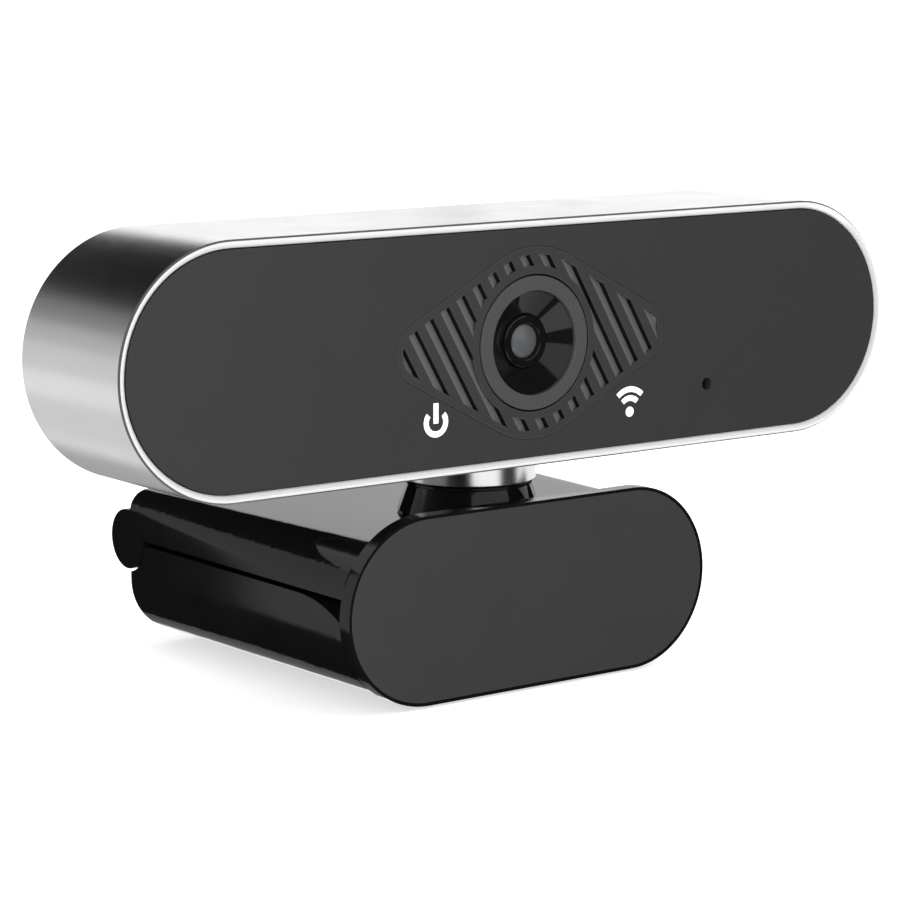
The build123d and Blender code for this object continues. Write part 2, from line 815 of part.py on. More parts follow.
with BuildPart() as rear_leg:
    with BuildSketch(clip_plane(leg_front)) as leg_face:
        leg_section(leg_face, leg_corner_r)
    with BuildSketch(clip_plane(arm_back)) as leg_rear:
        leg_section(leg_rear, leg_rear_corner_r)
    loft(ruled=True)
    nose_tip = (front_y + leg_front, leg_top_z - leg_nose_drop)
    nose_start = (front_y + leg_front + leg_nose_len, leg_top_z)
    with BuildSketch(Plane.YZ):
        with BuildLine():
            TangentArc(nose_start, nose_tip, tangent=(-1, 0))
            Polyline(nose_tip, (nose_tip[0], leg_top_z), nose_start)
        make_face()
    extrude(amount=arm_w, both=True, mode=Mode.SUBTRACT)
    with BuildSketch(Plane.XY.offset(leg_floor_z)):
        with Locations((0, leg_cover_mid_y)):
            RectangleRounded(leg_cover_w - 2 * leg_cover_lap, leg_cover_len - 2 * leg_cover_lap, pad_corner_r)
    extrude(amount=leg_top_z - leg_floor_z, mode=Mode.SUBTRACT)
    with BuildSketch(Plane.XY.offset(leg_floor_z)):
        with Locations(*leg_spots):
            Circle(post_r)
    extrude(amount=leg_top_z - leg_cover_t - leg_floor_z)
    with BuildSketch(Plane.XY.offset(leg_floor_z)):
        Circle(tripod_nut_r + tripod_boss_wall)
    extrude(amount=leg_bottom_z + tripod_nut_h - leg_floor_z)
    with BuildSketch(Plane.XY.offset(leg_top_z - leg_cover_t)):
        with Locations((0, leg_cover_mid_y)):
            RectangleRounded(leg_cover_w, leg_cover_len, pad_corner_r)
    extrude(amount=leg_cover_t, mode=Mode.SUBTRACT)
    hinge_round(-knuckle_half, knuckle_half, barrel_r, Mode.ADD)
    for side in (-1, 1):
        ends = sorted((side * knuckle_half, side * arm_w))
        hinge_round(ends[0], ends[1], barrel_r + barrel_swing_gap, Mode.SUBTRACT)
    hinge_round(-arm_w, arm_w, pin_r + pin_run, Mode.SUBTRACT)
    cut_rounds(Plane.XY.offset(leg_top_z), leg_spots, screw_r + thread_gap, leg_cover_t + screw_length)
    with BuildSketch(Plane.XY.offset(leg_bottom_z)):
        Circle(tripod_nut_r)
    extrude(amount=tripod_nut_h, mode=Mode.SUBTRACT)
    with BuildSketch(Plane.XY.offset(leg_bottom_z)):
        with Locations(*foot_spots):
            RectangleRounded(foot_w, foot_len, pad_corner_r)
    extrude(amount=foot_seat, mode=Mode.SUBTRACT)
save(rear_leg, "rear_leg")

grip_mid_y = leg_cover_mid_y - leg_cover_len / 2 + grip_inset + grip_len / 2
with BuildPart() as leg_cover:
    with BuildSketch(Plane.XY.offset(leg_top_z - leg_cover_t)):
        with Locations((0, leg_cover_mid_y)):
            RectangleRounded(
                leg_cover_w - 2 * leg_cover_gap, leg_cover_len - 2 * leg_cover_gap, pad_corner_r
            )
    extrude(amount=leg_cover_t)
    cut_rounds(Plane.XY.offset(leg_top_z), leg_spots, screw_r + head_gap, leg_cover_t)
    cut_rounds(Plane.XY.offset(leg_top_z), leg_spots, screw_head_r + head_gap, screw_head_t)
    with BuildSketch(Plane.XY.offset(leg_top_z)):
        with Locations((0, grip_mid_y)):
            RectangleRounded(grip_w, grip_len, pad_corner_r)
    extrude(amount=-(pad_t - pad_proud), mode=Mode.SUBTRACT)
save(leg_cover, "leg_cover")

with BuildPart() as leg_cover_screws:
    add_screws(Plane.XY.offset(leg_top_z - screw_head_t), leg_spots, screw_length)
save(leg_cover_screws, "leg_cover_screws")

with BuildPart() as leg_grip_pad:
    with BuildSketch(Plane.XY.offset(leg_top_z - pad_t + pad_proud)):
        with Locations((0, grip_mid_y)):
            RectangleRounded(grip_w - 2 * plate_gap, grip_len - 2 * plate_gap, pad_corner_r)
    extrude(amount=pad_t)
save(leg_grip_pad, "leg_grip_pad")

with BuildPart() as leg_feet:
    with BuildSketch(Plane.XY):
        with Locations(*foot_spots):
            RectangleRounded(foot_w - 2 * plate_gap, foot_len - 2 * plate_gap, pad_corner_r)
    extrude(amount=leg_bottom_z + foot_seat)
save(leg_feet, "leg_feet")

with BuildPart() as tripod_nut:
    with BuildSketch(Plane.XY.offset(leg_bottom_z)):
        Circle(tripod_nut_r)
        Circle(tripod_minor_r, mode=Mode.SUBTRACT)
    extrude(amount=tripod_nut_h)
save(tripod_nut, "tripod_nut")

# ======== Leg hinge ========

with BuildPart() as hinge_pin:
    hinge_round(-arm_w / 2 + pin_end_wall, arm_w / 2 - pin_recess, pin_r, Mode.ADD)
save(hinge_pin, "hinge_pin")

with BuildPart() as friction_washers:
    for side in (-1, 1):
        ends = sorted((side * (arm_knuckle_start - friction_washer_t), side * arm_knuckle_start))
        hinge_round(ends[0], ends[1], friction_washer_r, Mode.ADD)
    hinge_round(-arm_w, arm_w, pin_r, Mode.SUBTRACT)
save(friction_washers, "friction_washers")

print("overall depth", round(overall_depth, 2), "height", round(head_z + head_h / 2, 2), "width", head_w)
print("lens axis height", round(head_z, 2), "hinge at", round(hinge_y, 2), round(hinge_z, 2))
print("neck axis at y", round(neck_y, 2), "front plane at y", round(front_y, 2))
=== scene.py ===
# %% [markdown]
# A webcam on a folding screen clip.
# The head is an aluminium tube with two round ends and a flat matte front. It turns on a short neck, which
# stands on a glossy black clip. The solid model comes in as a fixed frame: its places are read from it, and
# the pieces made here are laid over it, at the same size and in the same place.

# %% Load the frame
import bmesh
import bpy
import json
import math
import numpy as np
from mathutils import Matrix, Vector

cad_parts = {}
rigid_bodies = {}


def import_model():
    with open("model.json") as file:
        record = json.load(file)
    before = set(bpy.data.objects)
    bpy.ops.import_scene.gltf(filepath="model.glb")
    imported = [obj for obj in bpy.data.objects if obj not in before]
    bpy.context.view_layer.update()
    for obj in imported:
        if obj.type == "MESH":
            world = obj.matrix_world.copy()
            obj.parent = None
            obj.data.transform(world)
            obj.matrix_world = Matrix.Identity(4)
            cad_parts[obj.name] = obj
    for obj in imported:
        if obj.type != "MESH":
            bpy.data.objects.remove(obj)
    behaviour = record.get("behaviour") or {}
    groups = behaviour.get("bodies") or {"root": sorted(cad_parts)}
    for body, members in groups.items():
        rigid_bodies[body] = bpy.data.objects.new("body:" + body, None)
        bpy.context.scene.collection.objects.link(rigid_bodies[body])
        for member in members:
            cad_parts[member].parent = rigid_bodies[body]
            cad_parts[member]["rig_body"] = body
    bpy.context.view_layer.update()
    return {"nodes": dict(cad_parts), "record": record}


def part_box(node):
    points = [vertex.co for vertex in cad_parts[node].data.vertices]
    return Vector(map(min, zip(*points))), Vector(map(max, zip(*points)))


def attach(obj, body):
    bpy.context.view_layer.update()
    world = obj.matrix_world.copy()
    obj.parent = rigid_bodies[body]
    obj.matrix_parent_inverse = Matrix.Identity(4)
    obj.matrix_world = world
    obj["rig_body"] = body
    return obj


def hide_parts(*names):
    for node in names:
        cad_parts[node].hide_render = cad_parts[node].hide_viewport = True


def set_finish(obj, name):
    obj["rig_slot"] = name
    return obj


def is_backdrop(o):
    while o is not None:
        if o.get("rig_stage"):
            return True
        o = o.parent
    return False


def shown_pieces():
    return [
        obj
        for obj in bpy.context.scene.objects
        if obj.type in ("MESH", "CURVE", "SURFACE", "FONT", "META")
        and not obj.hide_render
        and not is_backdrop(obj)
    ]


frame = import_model()
MM = 0.001

# %% [markdown]
# Every place starts from the frame. The front plane is the foremost edge of the tube, and depths are counted
# backwards from it. The lens axis is the middle of the lens ring. The clip and the neck have boxes of their
# own, so nothing has to be fitted by eye.

# %% Read the main places
HEAD_LOW, HEAD_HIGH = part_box("head_housing")
FRONT_Y = HEAD_LOW.y
HEAD_W = HEAD_HIGH.x - HEAD_LOW.x
HEAD_H = HEAD_HIGH.z - HEAD_LOW.z
HEAD_DEPTH = HEAD_HIGH.y - HEAD_LOW.y
LENS_Z = (HEAD_HIGH.z + HEAD_LOW.z) / 2
NECK_Y = sum(corner.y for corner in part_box("neck_ring")) / 2


def depths(node):
    """Front and back of a CAD node, counted backwards from the front plane."""
    low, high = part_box(node)
    return low.y - FRONT_Y, high.y - FRONT_Y


def radius_of(node):
    """Half the width of a round CAD node."""
    low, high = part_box(node)
    return (high.x - low.x) / 2


print("front plane", round(FRONT_Y, 5), "lens axis height", round(LENS_Z, 5), "neck at y", round(NECK_Y, 5))

# %% [markdown]
# The camera stands to the left of the front and a little above it, with a long lens, so that the parallel
# edges of the tube hardly run together. It is set before anything else, because it decides how fine the
# details have to be.

# %% Camera
CAMERA_AZIMUTH = math.radians(-36.887)
CAMERA_ELEVATION = math.radians(9.454)
CAMERA_DISTANCE = 0.3224
CAMERA_LENS = 121.55
CAMERA_SENSOR = 36.0
CAMERA_NEAR = 0.01
CAMERA_AIM = Vector((-11.53 * MM, FRONT_Y, LENS_Z - 10.53 * MM))


def direction(azimuth, elevation):
    """Unit vector towards a compass direction: azimuth 0 is straight in front, at -Y, and 90 is at +X."""
    flat = math.cos(elevation)
    return Vector((math.sin(azimuth) * flat, -math.cos(azimuth) * flat, math.sin(elevation)))


camera = bpy.data.objects.new("camera", bpy.data.cameras.new("camera"))
camera.location = CAMERA_AIM + direction(CAMERA_AZIMUTH, CAMERA_ELEVATION) * CAMERA_DISTANCE
camera.rotation_euler = (CAMERA_AIM - camera.location).to_track_quat("-Z", "Y").to_euler()
camera.data.lens = CAMERA_LENS
camera.data.sensor_width = CAMERA_SENSOR
camera.data.clip_start = CAMERA_NEAR
bpy.context.scene.collection.objects.link(camera)
bpy.context.scene.camera = camera
print("camera at", [round(value, 3) for value in camera.location])

# %% [markdown]
# Glossy black plastic shows nothing but its surroundings, so the studio is mostly dark to reflections and
# bright to everything else. The world is white to the camera, gives a soft even light, and looks dark in a
# reflection. Soft boxes then draw the highlights. The floor is pale and plain. It glows a little, so that it
# stays white, and it is left out of reflections.

# %% World and floor
FLOOR_HALF = 40.0
FLOOR_DROP = -0.02 * MM
SKY_SEEN = 1.0
SKY_FILL = 0.75
SKY_MIRRORED = 0.008
FLOOR_SHADE = 0.94
FLOOR_GLOW = 0.62
WHITE = (1.0, 1.0, 1.0, 1.0)


def make_world():
    """A world with one strength for the camera, one for soft light and one for reflections."""
    world = bpy.data.worlds.new("studio")
    world.use_nodes = True
    nodes = world.node_tree.nodes
    links = world.node_tree.links
    rays = nodes.new("ShaderNodeLightPath")
    glossy = nodes.new("ShaderNodeMix")
    glossy.inputs["A"].default_value = SKY_FILL
    glossy.inputs["B"].default_value = SKY_MIRRORED
    seen = nodes.new("ShaderNodeMix")
    seen.inputs["B"].default_value = SKY_SEEN
    links.new(rays.outputs["Is Glossy Ray"], glossy.inputs["Factor"])
    links.new(rays.outputs["Is Camera Ray"], seen.inputs["Factor"])
    links.new(glossy.outputs["Result"], seen.inputs["A"])
    links.new(seen.outputs["Result"], nodes["Background"].inputs["Strength"])
    nodes["Background"].inputs["Color"].default_value = WHITE
    return world


bpy.context.scene.world = make_world()
bpy.context.scene.view_settings.view_transform = "Standard"


def make_floor():
    """One large square at table height, a hair below the feet so that no two faces coincide."""
    mesh = bpy.data.meshes.new("floor")
    half = FLOOR_HALF
    corners = [(-half, -half, FLOOR_DROP), (half, -half, FLOOR_DROP)]
    corners += [(half, half, FLOOR_DROP), (-half, half, FLOOR_DROP)]
    mesh.from_pydata(corners, [], [(0, 1, 2, 3)])
    floor = bpy.data.objects.new("floor", mesh)
    bpy.context.scene.collection.objects.link(floor)
    floor.visible_glossy = False
    paper = bpy.data.materials.new("pale_floor")
    paper.use_nodes = True
    shader = paper.node_tree.nodes["Principled BSDF"]
    shader.inputs["Base Color"].default_value = (FLOOR_SHADE, FLOOR_SHADE, FLOOR_SHADE, 1.0)
    shader.inputs["Roughness"].default_value = 0.9
    shader.inputs["Specular IOR Level"].default_value = 0.0
    shader.inputs["Emission Color"].default_value = WHITE
    shader.inputs["Emission Strength"].default_value = FLOOR_GLOW
    mesh.materials.append(paper)
    floor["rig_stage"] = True
    return floor


make_floor()
print("floor side", FLOOR_HALF * 2)

# %% [markdown]
# Each soft box is a rectangle that faces the object. Bright metal wants wide white boxes all round, and
# glossy black wants only a few, so most boxes are linked to the metal pieces alone or to the rest alone. The
# metal's side boxes overlap in steps, and the steps blur into one long gradient down the round end of the
# tube. The arm and the leg have a dim box each, which draws a plain pane on their flat sides.

# %% Soft boxes
LIGHT_AIM = Vector((0.0, 0.0, 25 * MM))
metal_pieces = bpy.data.collections.new("metal_pieces")
other_pieces = bpy.data.collections.new("other_pieces")
arm_pieces = bpy.data.collections.new("arm_pieces")
leg_pieces = bpy.data.collections.new("leg_pieces")


def softbox(name, azimuth, elevation, distance, size, radiance, shows="both", on=None):
    """A rectangular area light. Its power is its wanted radiance times pi times its area."""
    data = bpy.data.lights.new(name, "AREA")
    data.shape = "RECTANGLE"
    data.size, data.size_y = size
    data.energy = radiance * math.pi * size[0] * size[1]
    lamp = bpy.data.objects.new(name, data)
    lamp.location = LIGHT_AIM + direction(math.radians(azimuth), math.radians(elevation)) * distance
    lamp.rotation_euler = (LIGHT_AIM - lamp.location).to_track_quat("-Z", "Y").to_euler()
    lamp.visible_camera = False
    lamp.visible_diffuse = shows in ("both", "diffuse")
    lamp.visible_glossy = shows in ("both", "glossy")
    if on is not None:
        lamp.light_linking.receiver_collection = on
    bpy.context.scene.collection.objects.link(lamp)
    return lamp


softbox("key", 62, 38, 1.0, (0.7, 0.7), 2.0, "diffuse")
softbox("top", 100, 80, 1.0, (0.8, 0.8), 0.8, "diffuse")
softbox("left_near", -48, 14, 0.24, (0.12, 0.12), 9.0, "diffuse", other_pieces)
softbox("front_upper", 4, 17, 1.2, (1.6, 0.73), 0.7)
softbox("front_lower", -8, -33, 1.2, (0.6, 0.6), 1.0, "glossy", other_pieces)
softbox("front_low_right", 58, -50, 1.0, (0.9, 0.4), 0.55, "glossy", other_pieces)
softbox("back_low_black", 143, 8, 1.2, (1.5, 0.55), 0.85, "glossy", other_pieces)
softbox("arm_pane", -124.8, 8, 1.2, (0.98, 1.7), 0.42, "glossy", arm_pieces)
softbox("leg_pane", -124.0, -4, 1.2, (0.96, 1.2), 0.45, "glossy", leg_pieces)
softbox("under_far", 160, -30, 1.0, (0.5, 0.3), 0.25, "glossy", other_pieces)
softbox("under_near", 147, -19, 1.0, (0.35, 0.25), 1.0, "glossy", other_pieces)
METAL_BOXES = {
    "back_low_metal": (143, 7, 1.2, (1.5, 0.6), 0.98),
    "side_metal_wide": (-172, -18, 0.9, (2.0, 1.65), 0.25),
    "side_metal_high": (-150, -22, 0.9, (0.9, 1.3), 0.26),
    "side_metal_low": (-150, -35, 0.9, (0.9, 0.9), 0.2),
    "left_metal": (-120, -9, 1.0, (2.0, 0.5), 0.18),
    "back_under_metal": (160, -32, 0.9, (0.8, 0.7), 0.15),
    "under_metal": (90, -55, 1.0, (1.2, 1.0), 0.8),
    "front_metal": (-7, -11, 1.1, (1.0, 0.6), 1.15),
    "front_high_metal": (32, 24, 1.1, (1.4, 0.5), 0.6),
    "right_metal": (98, -9, 1.0, (2.0, 0.6), 1.0),
}
for box_name, box in METAL_BOXES.items():
    softbox(box_name, *box, "glossy", metal_pieces)

# %% [markdown]
# Hard shapes are made from three ideas. A profile is a short list of corners, each rounded by its own small
# arc. An outline is a closed rounded rectangle, and a stadium is one whose corners meet. A surface is the
# profile carried round the outline, or turned about an axis. All of it is worked out as whole arrays.

# %% Rounded profiles and outlines
FLAT_KEPT = 1.3
NO_LENGTH = 1e-6


def soften(corners, radii, steps=4):
    """Rounds the corners of a closed profile.

    At each corner the arc touches both sides at radius / tan(half the angle) from the corner, and its centre
    lies on the bisector. One more point is kept just beyond each end of the arc, so that the flat beside it
    stays flat when it is shaded.
    """
    corners = np.asarray(corners, float)
    radii = np.broadcast_to(np.asarray(radii, float), len(corners))[:, None]
    back = np.roll(corners, 1, axis=0) - corners
    ahead = np.roll(corners, -1, axis=0) - corners
    back /= np.linalg.norm(back, axis=1, keepdims=True)
    ahead /= np.linalg.norm(ahead, axis=1, keepdims=True)
    half = np.arccos(np.clip((back * ahead).sum(1, keepdims=True), -1, 1)) / 2
    reach = radii / np.tan(half)
    middle = back + ahead
    centre = corners + middle / np.linalg.norm(middle, axis=1, keepdims=True) * radii / np.sin(half)
    first = corners + back * reach - centre
    last = corners + ahead * reach - centre
    start = np.arctan2(first[:, 1], first[:, 0])
    sweep = (np.arctan2(last[:, 1], last[:, 0]) - start + np.pi) % (2 * np.pi) - np.pi
    angles = start[:, None] + sweep[:, None] * np.linspace(0, 1, steps + 1)
    arcs = centre[:, None] + radii[:, None] * np.stack([np.cos(angles), np.sin(angles)], axis=-1)
    before = corners + back * reach * FLAT_KEPT
    after = corners + ahead * reach * FLAT_KEPT
    return np.concatenate([before[:, None], arcs, after[:, None]], axis=1).reshape(-1, 2)


def outline(width, height, radius, arc_steps=48, side_steps=12):
    """A rounded rectangle about the origin: its points and the outward direction at each.

    The four quarter circles are joined by straight sides, and a side of no length is left out.
    """
    points = []
    outward = []
    corner = np.array([width / 2 - radius, height / 2 - radius])
    signs = [(1, -1), (1, 1), (-1, 1), (-1, -1)]
    for index, sign in enumerate(signs):
        start = -np.pi / 2 + index * np.pi / 2
        angles = start + np.linspace(0, np.pi / 2, arc_steps + 1)
        ring = np.stack([np.cos(angles), np.sin(angles)], axis=-1)
        points.append(corner * sign + radius * ring)
        outward.append(ring)
        following = corner * signs[(index + 1) % 4] + radius * ring[-1]
        along = following - points[-1][-1]
        if np.linalg.norm(along) > NO_LENGTH:
            share = np.linspace(0, 1, side_steps + 1)[1:-1, None]
            points.append(points[-1][-1] + along * share)
            outward.append(np.repeat(ring[-1:], side_steps - 1, axis=0))
        else:
            points[-1] = points[-1][:-1]
            outward[-1] = outward[-1][:-1]
    return np.concatenate(points), np.concatenate(outward)


demo = outline(HEAD_W, HEAD_H, HEAD_H / 2)[0]
print("head outline points", len(demo), "width", round(float(np.ptp(demo[:, 0])), 5))

# %% [markdown]
# A grid of points becomes a closed shell of quads. The grid closes on itself where it is a ring, and a flat
# many-sided face shuts an open end. The volume of the shell tells which way its faces look: where it comes
# out negative, every face is turned round.

# %% From grids to closed shells
WELD = 1e-7


def quads_of(index):
    """The four corners of every cell of a grid of vertex numbers."""
    return np.stack([index[:-1, :-1], index[1:, :-1], index[1:, 1:], index[:-1, 1:]], axis=-1)


def shell(grid, wrap_rows=False, wrap_columns=True, caps=True):
    """Vertices and quads of a grid of points, with many-sided caps on its first and last rows."""
    rows, columns = grid.shape[:2]
    index = np.arange(rows * columns).reshape(rows, columns)
    if wrap_rows:
        index = np.concatenate([index, index[:1]], axis=0)
    if wrap_columns:
        index = np.concatenate([index, index[:, :1]], axis=1)
    faces = quads_of(index).reshape(-1, 4).tolist()
    if caps and not wrap_rows:
        faces.append(index[0, :columns].tolist())
        faces.append(index[rows - 1, :columns][::-1].tolist())
    points = grid.reshape(-1, 3)
    if signed_volume(points, faces) < 0:
        faces = [face[::-1] for face in faces]
    return points, faces


def signed_volume(points, faces):
    """Six times the volume: the sum over a fan of triangles of the triple product of their corners."""
    total = 0.0
    middle = points.mean(axis=0)
    for size in {len(face) for face in faces}:
        group = points[np.array([face for face in faces if len(face) == size])] - middle
        for step in range(1, size - 1):
            total += np.einsum("ij,ij->", np.cross(group[:, step], group[:, step + 1]), group[:, 0])
    return total


def place_piece(name, mesh, body, slot_name, nodes):
    """Shades a mesh smooth and puts it in the scene, riding on a body in place of CAD nodes."""
    mesh.polygons.foreach_set("use_smooth", np.ones(len(mesh.polygons), bool))
    piece = bpy.data.objects.new(name, mesh)
    bpy.context.scene.collection.objects.link(piece)
    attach(piece, body)
    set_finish(piece, slot_name)
    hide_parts(*nodes)
    size = [round(value / MM, 2) for value in piece.dimensions]
    print(name, "faces", len(mesh.polygons), "size mm", size)
    return piece


def make_piece(name, body, slot_name, shells, nodes, sharp=None):
    """Puts shells into one smooth mesh that rides on a body and stands for CAD nodes.

    Where sharp is given, edges that turn by more than that many degrees are kept crisp.
    """
    points = []
    faces = []
    start = 0
    for shell_points, shell_faces in shells:
        points.append(shell_points)
        faces += [[corner + start for corner in face] for face in shell_faces]
        start += len(shell_points)
    mesh = bpy.data.meshes.new(name)
    mesh.from_pydata(np.concatenate(points).tolist(), [], faces)
    build = bmesh.new()
    build.from_mesh(mesh)
    bmesh.ops.remove_doubles(build, verts=build.verts, dist=WELD)
    build.to_mesh(mesh)
    build.free()
    piece = place_piece(name, mesh, body, slot_name, nodes)
    if sharp is not None:
        mesh.set_sharp_from_angle(angle=math.radians(sharp))
    return piece


def make_ring(name, body, slot_name, grid, node):
    """One closed section, carried or turned all the way round."""
    return make_piece(name, body, slot_name, [shell(grid, wrap_rows=True)], [node])


def per_face(piece, what):
    """The centre or the normal of every face, as rows of three."""
    values = np.empty(len(piece.data.polygons) * 3)
    piece.data.polygons.foreach_get(what, values)
    return values.reshape(-1, 3)


def carry_upright(profile, path, height):
    """Carries rows of (inset, depth) round an upright outline centred at a height above the table."""
    points, outward = path
    flat = points[None] - outward[None] * profile[:, 0][:, None, None]
    depth = np.broadcast_to(FRONT_Y + profile[:, 1][:, None], flat.shape[:2])
    return np.stack([flat[..., 0], depth, height + flat[..., 1]], axis=-1)


def carry_level(profile, path, middle_y):
    """Carries rows of (inset, height) round a level outline centred on the X = 0 plane."""
    points, outward = path
    flat = points[None] - outward[None] * profile[:, 0][:, None, None]
    height = np.broadcast_to(profile[:, 1][:, None], flat.shape[:2])
    return np.stack([flat[..., 0], middle_y + flat[..., 1], height], axis=-1)


def turn_on_lens_axis(profile, steps=128):
    """Turns rows of (radius, depth) about the lens axis."""
    angles = np.linspace(0, 2 * np.pi, steps, endpoint=False)
    radius = profile[:, 0][:, None]
    depth = np.broadcast_to(FRONT_Y + profile[:, 1][:, None], (len(profile), steps))
    return np.stack([radius * np.cos(angles), depth, LENS_Z + radius * np.sin(angles)], axis=-1)


def turn_on_neck(profile, steps=128):
    """Turns rows of (radius, height) about the neck's upright axis."""
    angles = np.linspace(0, 2 * np.pi, steps, endpoint=False)
    radius = profile[:, 0][:, None]
    height = np.broadcast_to(profile[:, 1][:, None], (len(profile), steps))
    return np.stack([radius * np.cos(angles), NECK_Y + radius * np.sin(angles), height], axis=-1)


def plate_rows(low, high, edge, apron, steps=4):
    """Rows of (inset, place) for a flat plate with rounded edges; the flat caps close inside the apron."""
    kept = edge * 1.4
    angles = np.linspace(0, np.pi / 2, steps + 1)
    inset = edge * (1 - np.sin(angles))
    fall = edge * (1 - np.cos(angles))
    front = np.stack([inset, low + fall], axis=-1)
    back = np.stack([inset[::-1], high - fall[::-1]], axis=-1)
    first = [(apron, low), (kept, low)]
    last = [(kept, high), (apron, high)]
    middle = [(0.0, low + kept), (0.0, high - kept)]
    return np.concatenate([first, front, middle, back, last])


# %% [markdown]
# The head's tube is an extrusion with two round ends, cut to length, with a diamond-cut bevel round the front
# opening and a broken edge outside it. It could be a solid with a hole cut out, but one wall section carried
# round the outline gives clean rows of quads, and the rows of the bevel and of the edge can then have
# finishes of their own: the bevel is painted near-white, a painted highlight, and the edge dark grey, a
# painted shade.

# %% Tube of the head
RIM_WALL = 0.9 * MM
TUBE_WALL = 1.8 * MM
RIM_BEVEL = 0.45 * MM
RIM_EDGE = 0.2 * MM
PANEL_BACK = 2.6 * MM
# Material numbers of the bevel, painted near-white as a painted highlight, and of the outer edge, painted
# dark grey as a painted shade.
CUT_PAINTED_HIGHLIGHT = 1
EDGE_PAINTED_SHADE = 2


def housing_section():
    """The closed wall section, as rows of (inset from the outer skin, depth)."""
    cover_front = depths("rear_cover")[0]
    corners = [(0.0, HEAD_DEPTH), (0.0, RIM_EDGE), (RIM_EDGE, 0.0), (RIM_WALL - RIM_BEVEL, 0.0)]
    corners += [(RIM_WALL, RIM_BEVEL), (RIM_WALL, PANEL_BACK), (TUBE_WALL, PANEL_BACK)]
    corners += [(TUBE_WALL, cover_front), (RIM_WALL, cover_front), (RIM_WALL, HEAD_DEPTH)]
    edge = 0.03 * MM
    return soften(corners, [5 * edge, 2 * edge, edge, edge, edge, edge, edge, edge, edge, 3 * edge])


housing_rows = housing_section()
housing_grid = carry_upright(housing_rows, outline(HEAD_W, HEAD_H, HEAD_H / 2, 64, 40), LENS_Z)
housing = make_ring("head_tube", "head", "satin_aluminium", housing_grid, "head_housing")


def mark_painted_cut_and_edge(piece):
    """Gives the front bevel a near-white painted highlight and the broken edge outside it a dark grey painted
    shade, as finishes of their own, by depth and inset.
    """
    middle = per_face(piece, "center")
    run = np.maximum(np.abs(middle[:, 0]) - (HEAD_W - HEAD_H) / 2, 0)
    inset = HEAD_H / 2 - np.hypot(run, middle[:, 2] - LENS_Z)
    cut = (middle[:, 1] < FRONT_Y + RIM_BEVEL * 1.02) & (inset > RIM_EDGE * 0.9)
    edge = (middle[:, 1] < FRONT_Y + RIM_EDGE) & ~cut
    kind = np.where(cut, CUT_PAINTED_HIGHLIGHT, np.where(edge, EDGE_PAINTED_SHADE, 0))
    piece.data.polygons.foreach_set("material_index", kind.astype(np.int32))
    return int(cut.sum()), int(edge.sum())


# %% [markdown]
# The lens is a nest of turned rings: a satin ring on the grille, a glossy cone that falls to the barrel, the
# barrel's nose, and a small domed glass. Each is a profile turned about the lens axis.

# %% Lens rings and glass
BEZEL_BORE = 5.65 * MM
BAFFLE_FLOOR = 1.95 * MM
BARREL_FRONT = 1.7 * MM
LENS_SHOULDER = 4.4 * MM
LENS_RISE = 0.45 * MM
BARREL_NOSE = 2.92 * MM
OPTIC_GAP = 0.03 * MM


def lens_bezel_section():
    """The ring: a flat face, small broken edges, and a narrower body that goes through the grille."""
    front, back = depths("lens_bezel")
    outer = radius_of("lens_bezel")
    seat = depths("diamond_grille")[1]
    body = outer - 0.7 * MM
    corners = [(BEZEL_BORE, front), (outer, front), (outer, seat)]
    corners += [(body, seat), (body, back), (BEZEL_BORE, back)]
    edge = 0.05 * MM
    return soften(corners, [3 * edge, 3 * edge, edge, edge, edge, edge])


def lens_baffle_section():
    """The cone: it falls from the ring's bore to the barrel."""
    front, back = depths("lens_baffle")
    outer = radius_of("lens_baffle")
    bore = BARREL_NOSE + 0.08 * MM
    corners = [(outer, front), (outer, back), (bore, back), (bore, BAFFLE_FLOOR)]
    return soften(corners, 0.04 * MM)


def lens_barrel_section():
    """The barrel: a nose with a round lip in front, a wider body behind the shoulder."""
    front, back = depths("lens_barrel")
    body = radius_of("lens_barrel")
    bore = radius_of("front_lens") + OPTIC_GAP
    rear_bore = radius_of("rear_lens") + OPTIC_GAP
    step = LENS_SHOULDER + OPTIC_GAP
    corners = [(bore, front), (BARREL_NOSE, front), (BARREL_NOSE, step), (body, step), (body, back)]
    corners += [(rear_bore, back), (rear_bore, LENS_SHOULDER), (bore, LENS_SHOULDER)]
    edge = 0.04 * MM
    return soften(corners, [6 * edge, 6 * edge, edge, edge, edge, edge, edge, edge])


def front_lens_section(steps=24):
    """The glass: depth grows with the square of the radius over the dome, then a wall and a flat back."""
    radius = radius_of("front_lens")
    reach = np.linspace(0, 1, steps)
    dome = np.stack([radius * reach, BARREL_FRONT + LENS_RISE * reach**2], axis=-1)
    wall = [(radius, LENS_SHOULDER - 0.02 * MM), (radius - 0.02 * MM, LENS_SHOULDER), (0.0, LENS_SHOULDER)]
    return np.concatenate([dome, wall])


make_ring("lens_ring", "head", "bezel_plastic", turn_on_lens_axis(lens_bezel_section()), "lens_bezel")
make_ring("lens_cone", "head", "gloss_black", turn_on_lens_axis(lens_baffle_section()), "lens_baffle")
make_ring("lens_tube", "head", "gloss_black", turn_on_lens_axis(lens_barrel_section()), "lens_barrel")
glass_shell = shell(turn_on_lens_axis(front_lens_section(), 96), caps=False)
make_piece("lens_front_glass", "head", "lens_glass", [glass_shell], ["front_lens"])

# %% [markdown]
# The grille round the lens is a rhombus with round crowns and tips. Its outline could be four arcs and four
# lines joined by hand. Worked out from the way each point faces, it is one formula, and the straight sides
# come by themselves between the circles.

# %% Outline of the grille
GRILLE_SLOPE = math.radians(28.0)
GRILLE_CROWN = 10.45 * MM
GRILLE_TIP = 3.43 * MM
GRILLE_HOLE = 7.5 * MM
GRILLE_MARGIN = 0.85 * MM
GRILLE_SHARP = 20.0
GRILLE_LAND = GRILLE_HOLE + GRILLE_MARGIN
TIP_X = (GRILLE_CROWN - GRILLE_TIP) / math.sin(GRILLE_SLOPE)


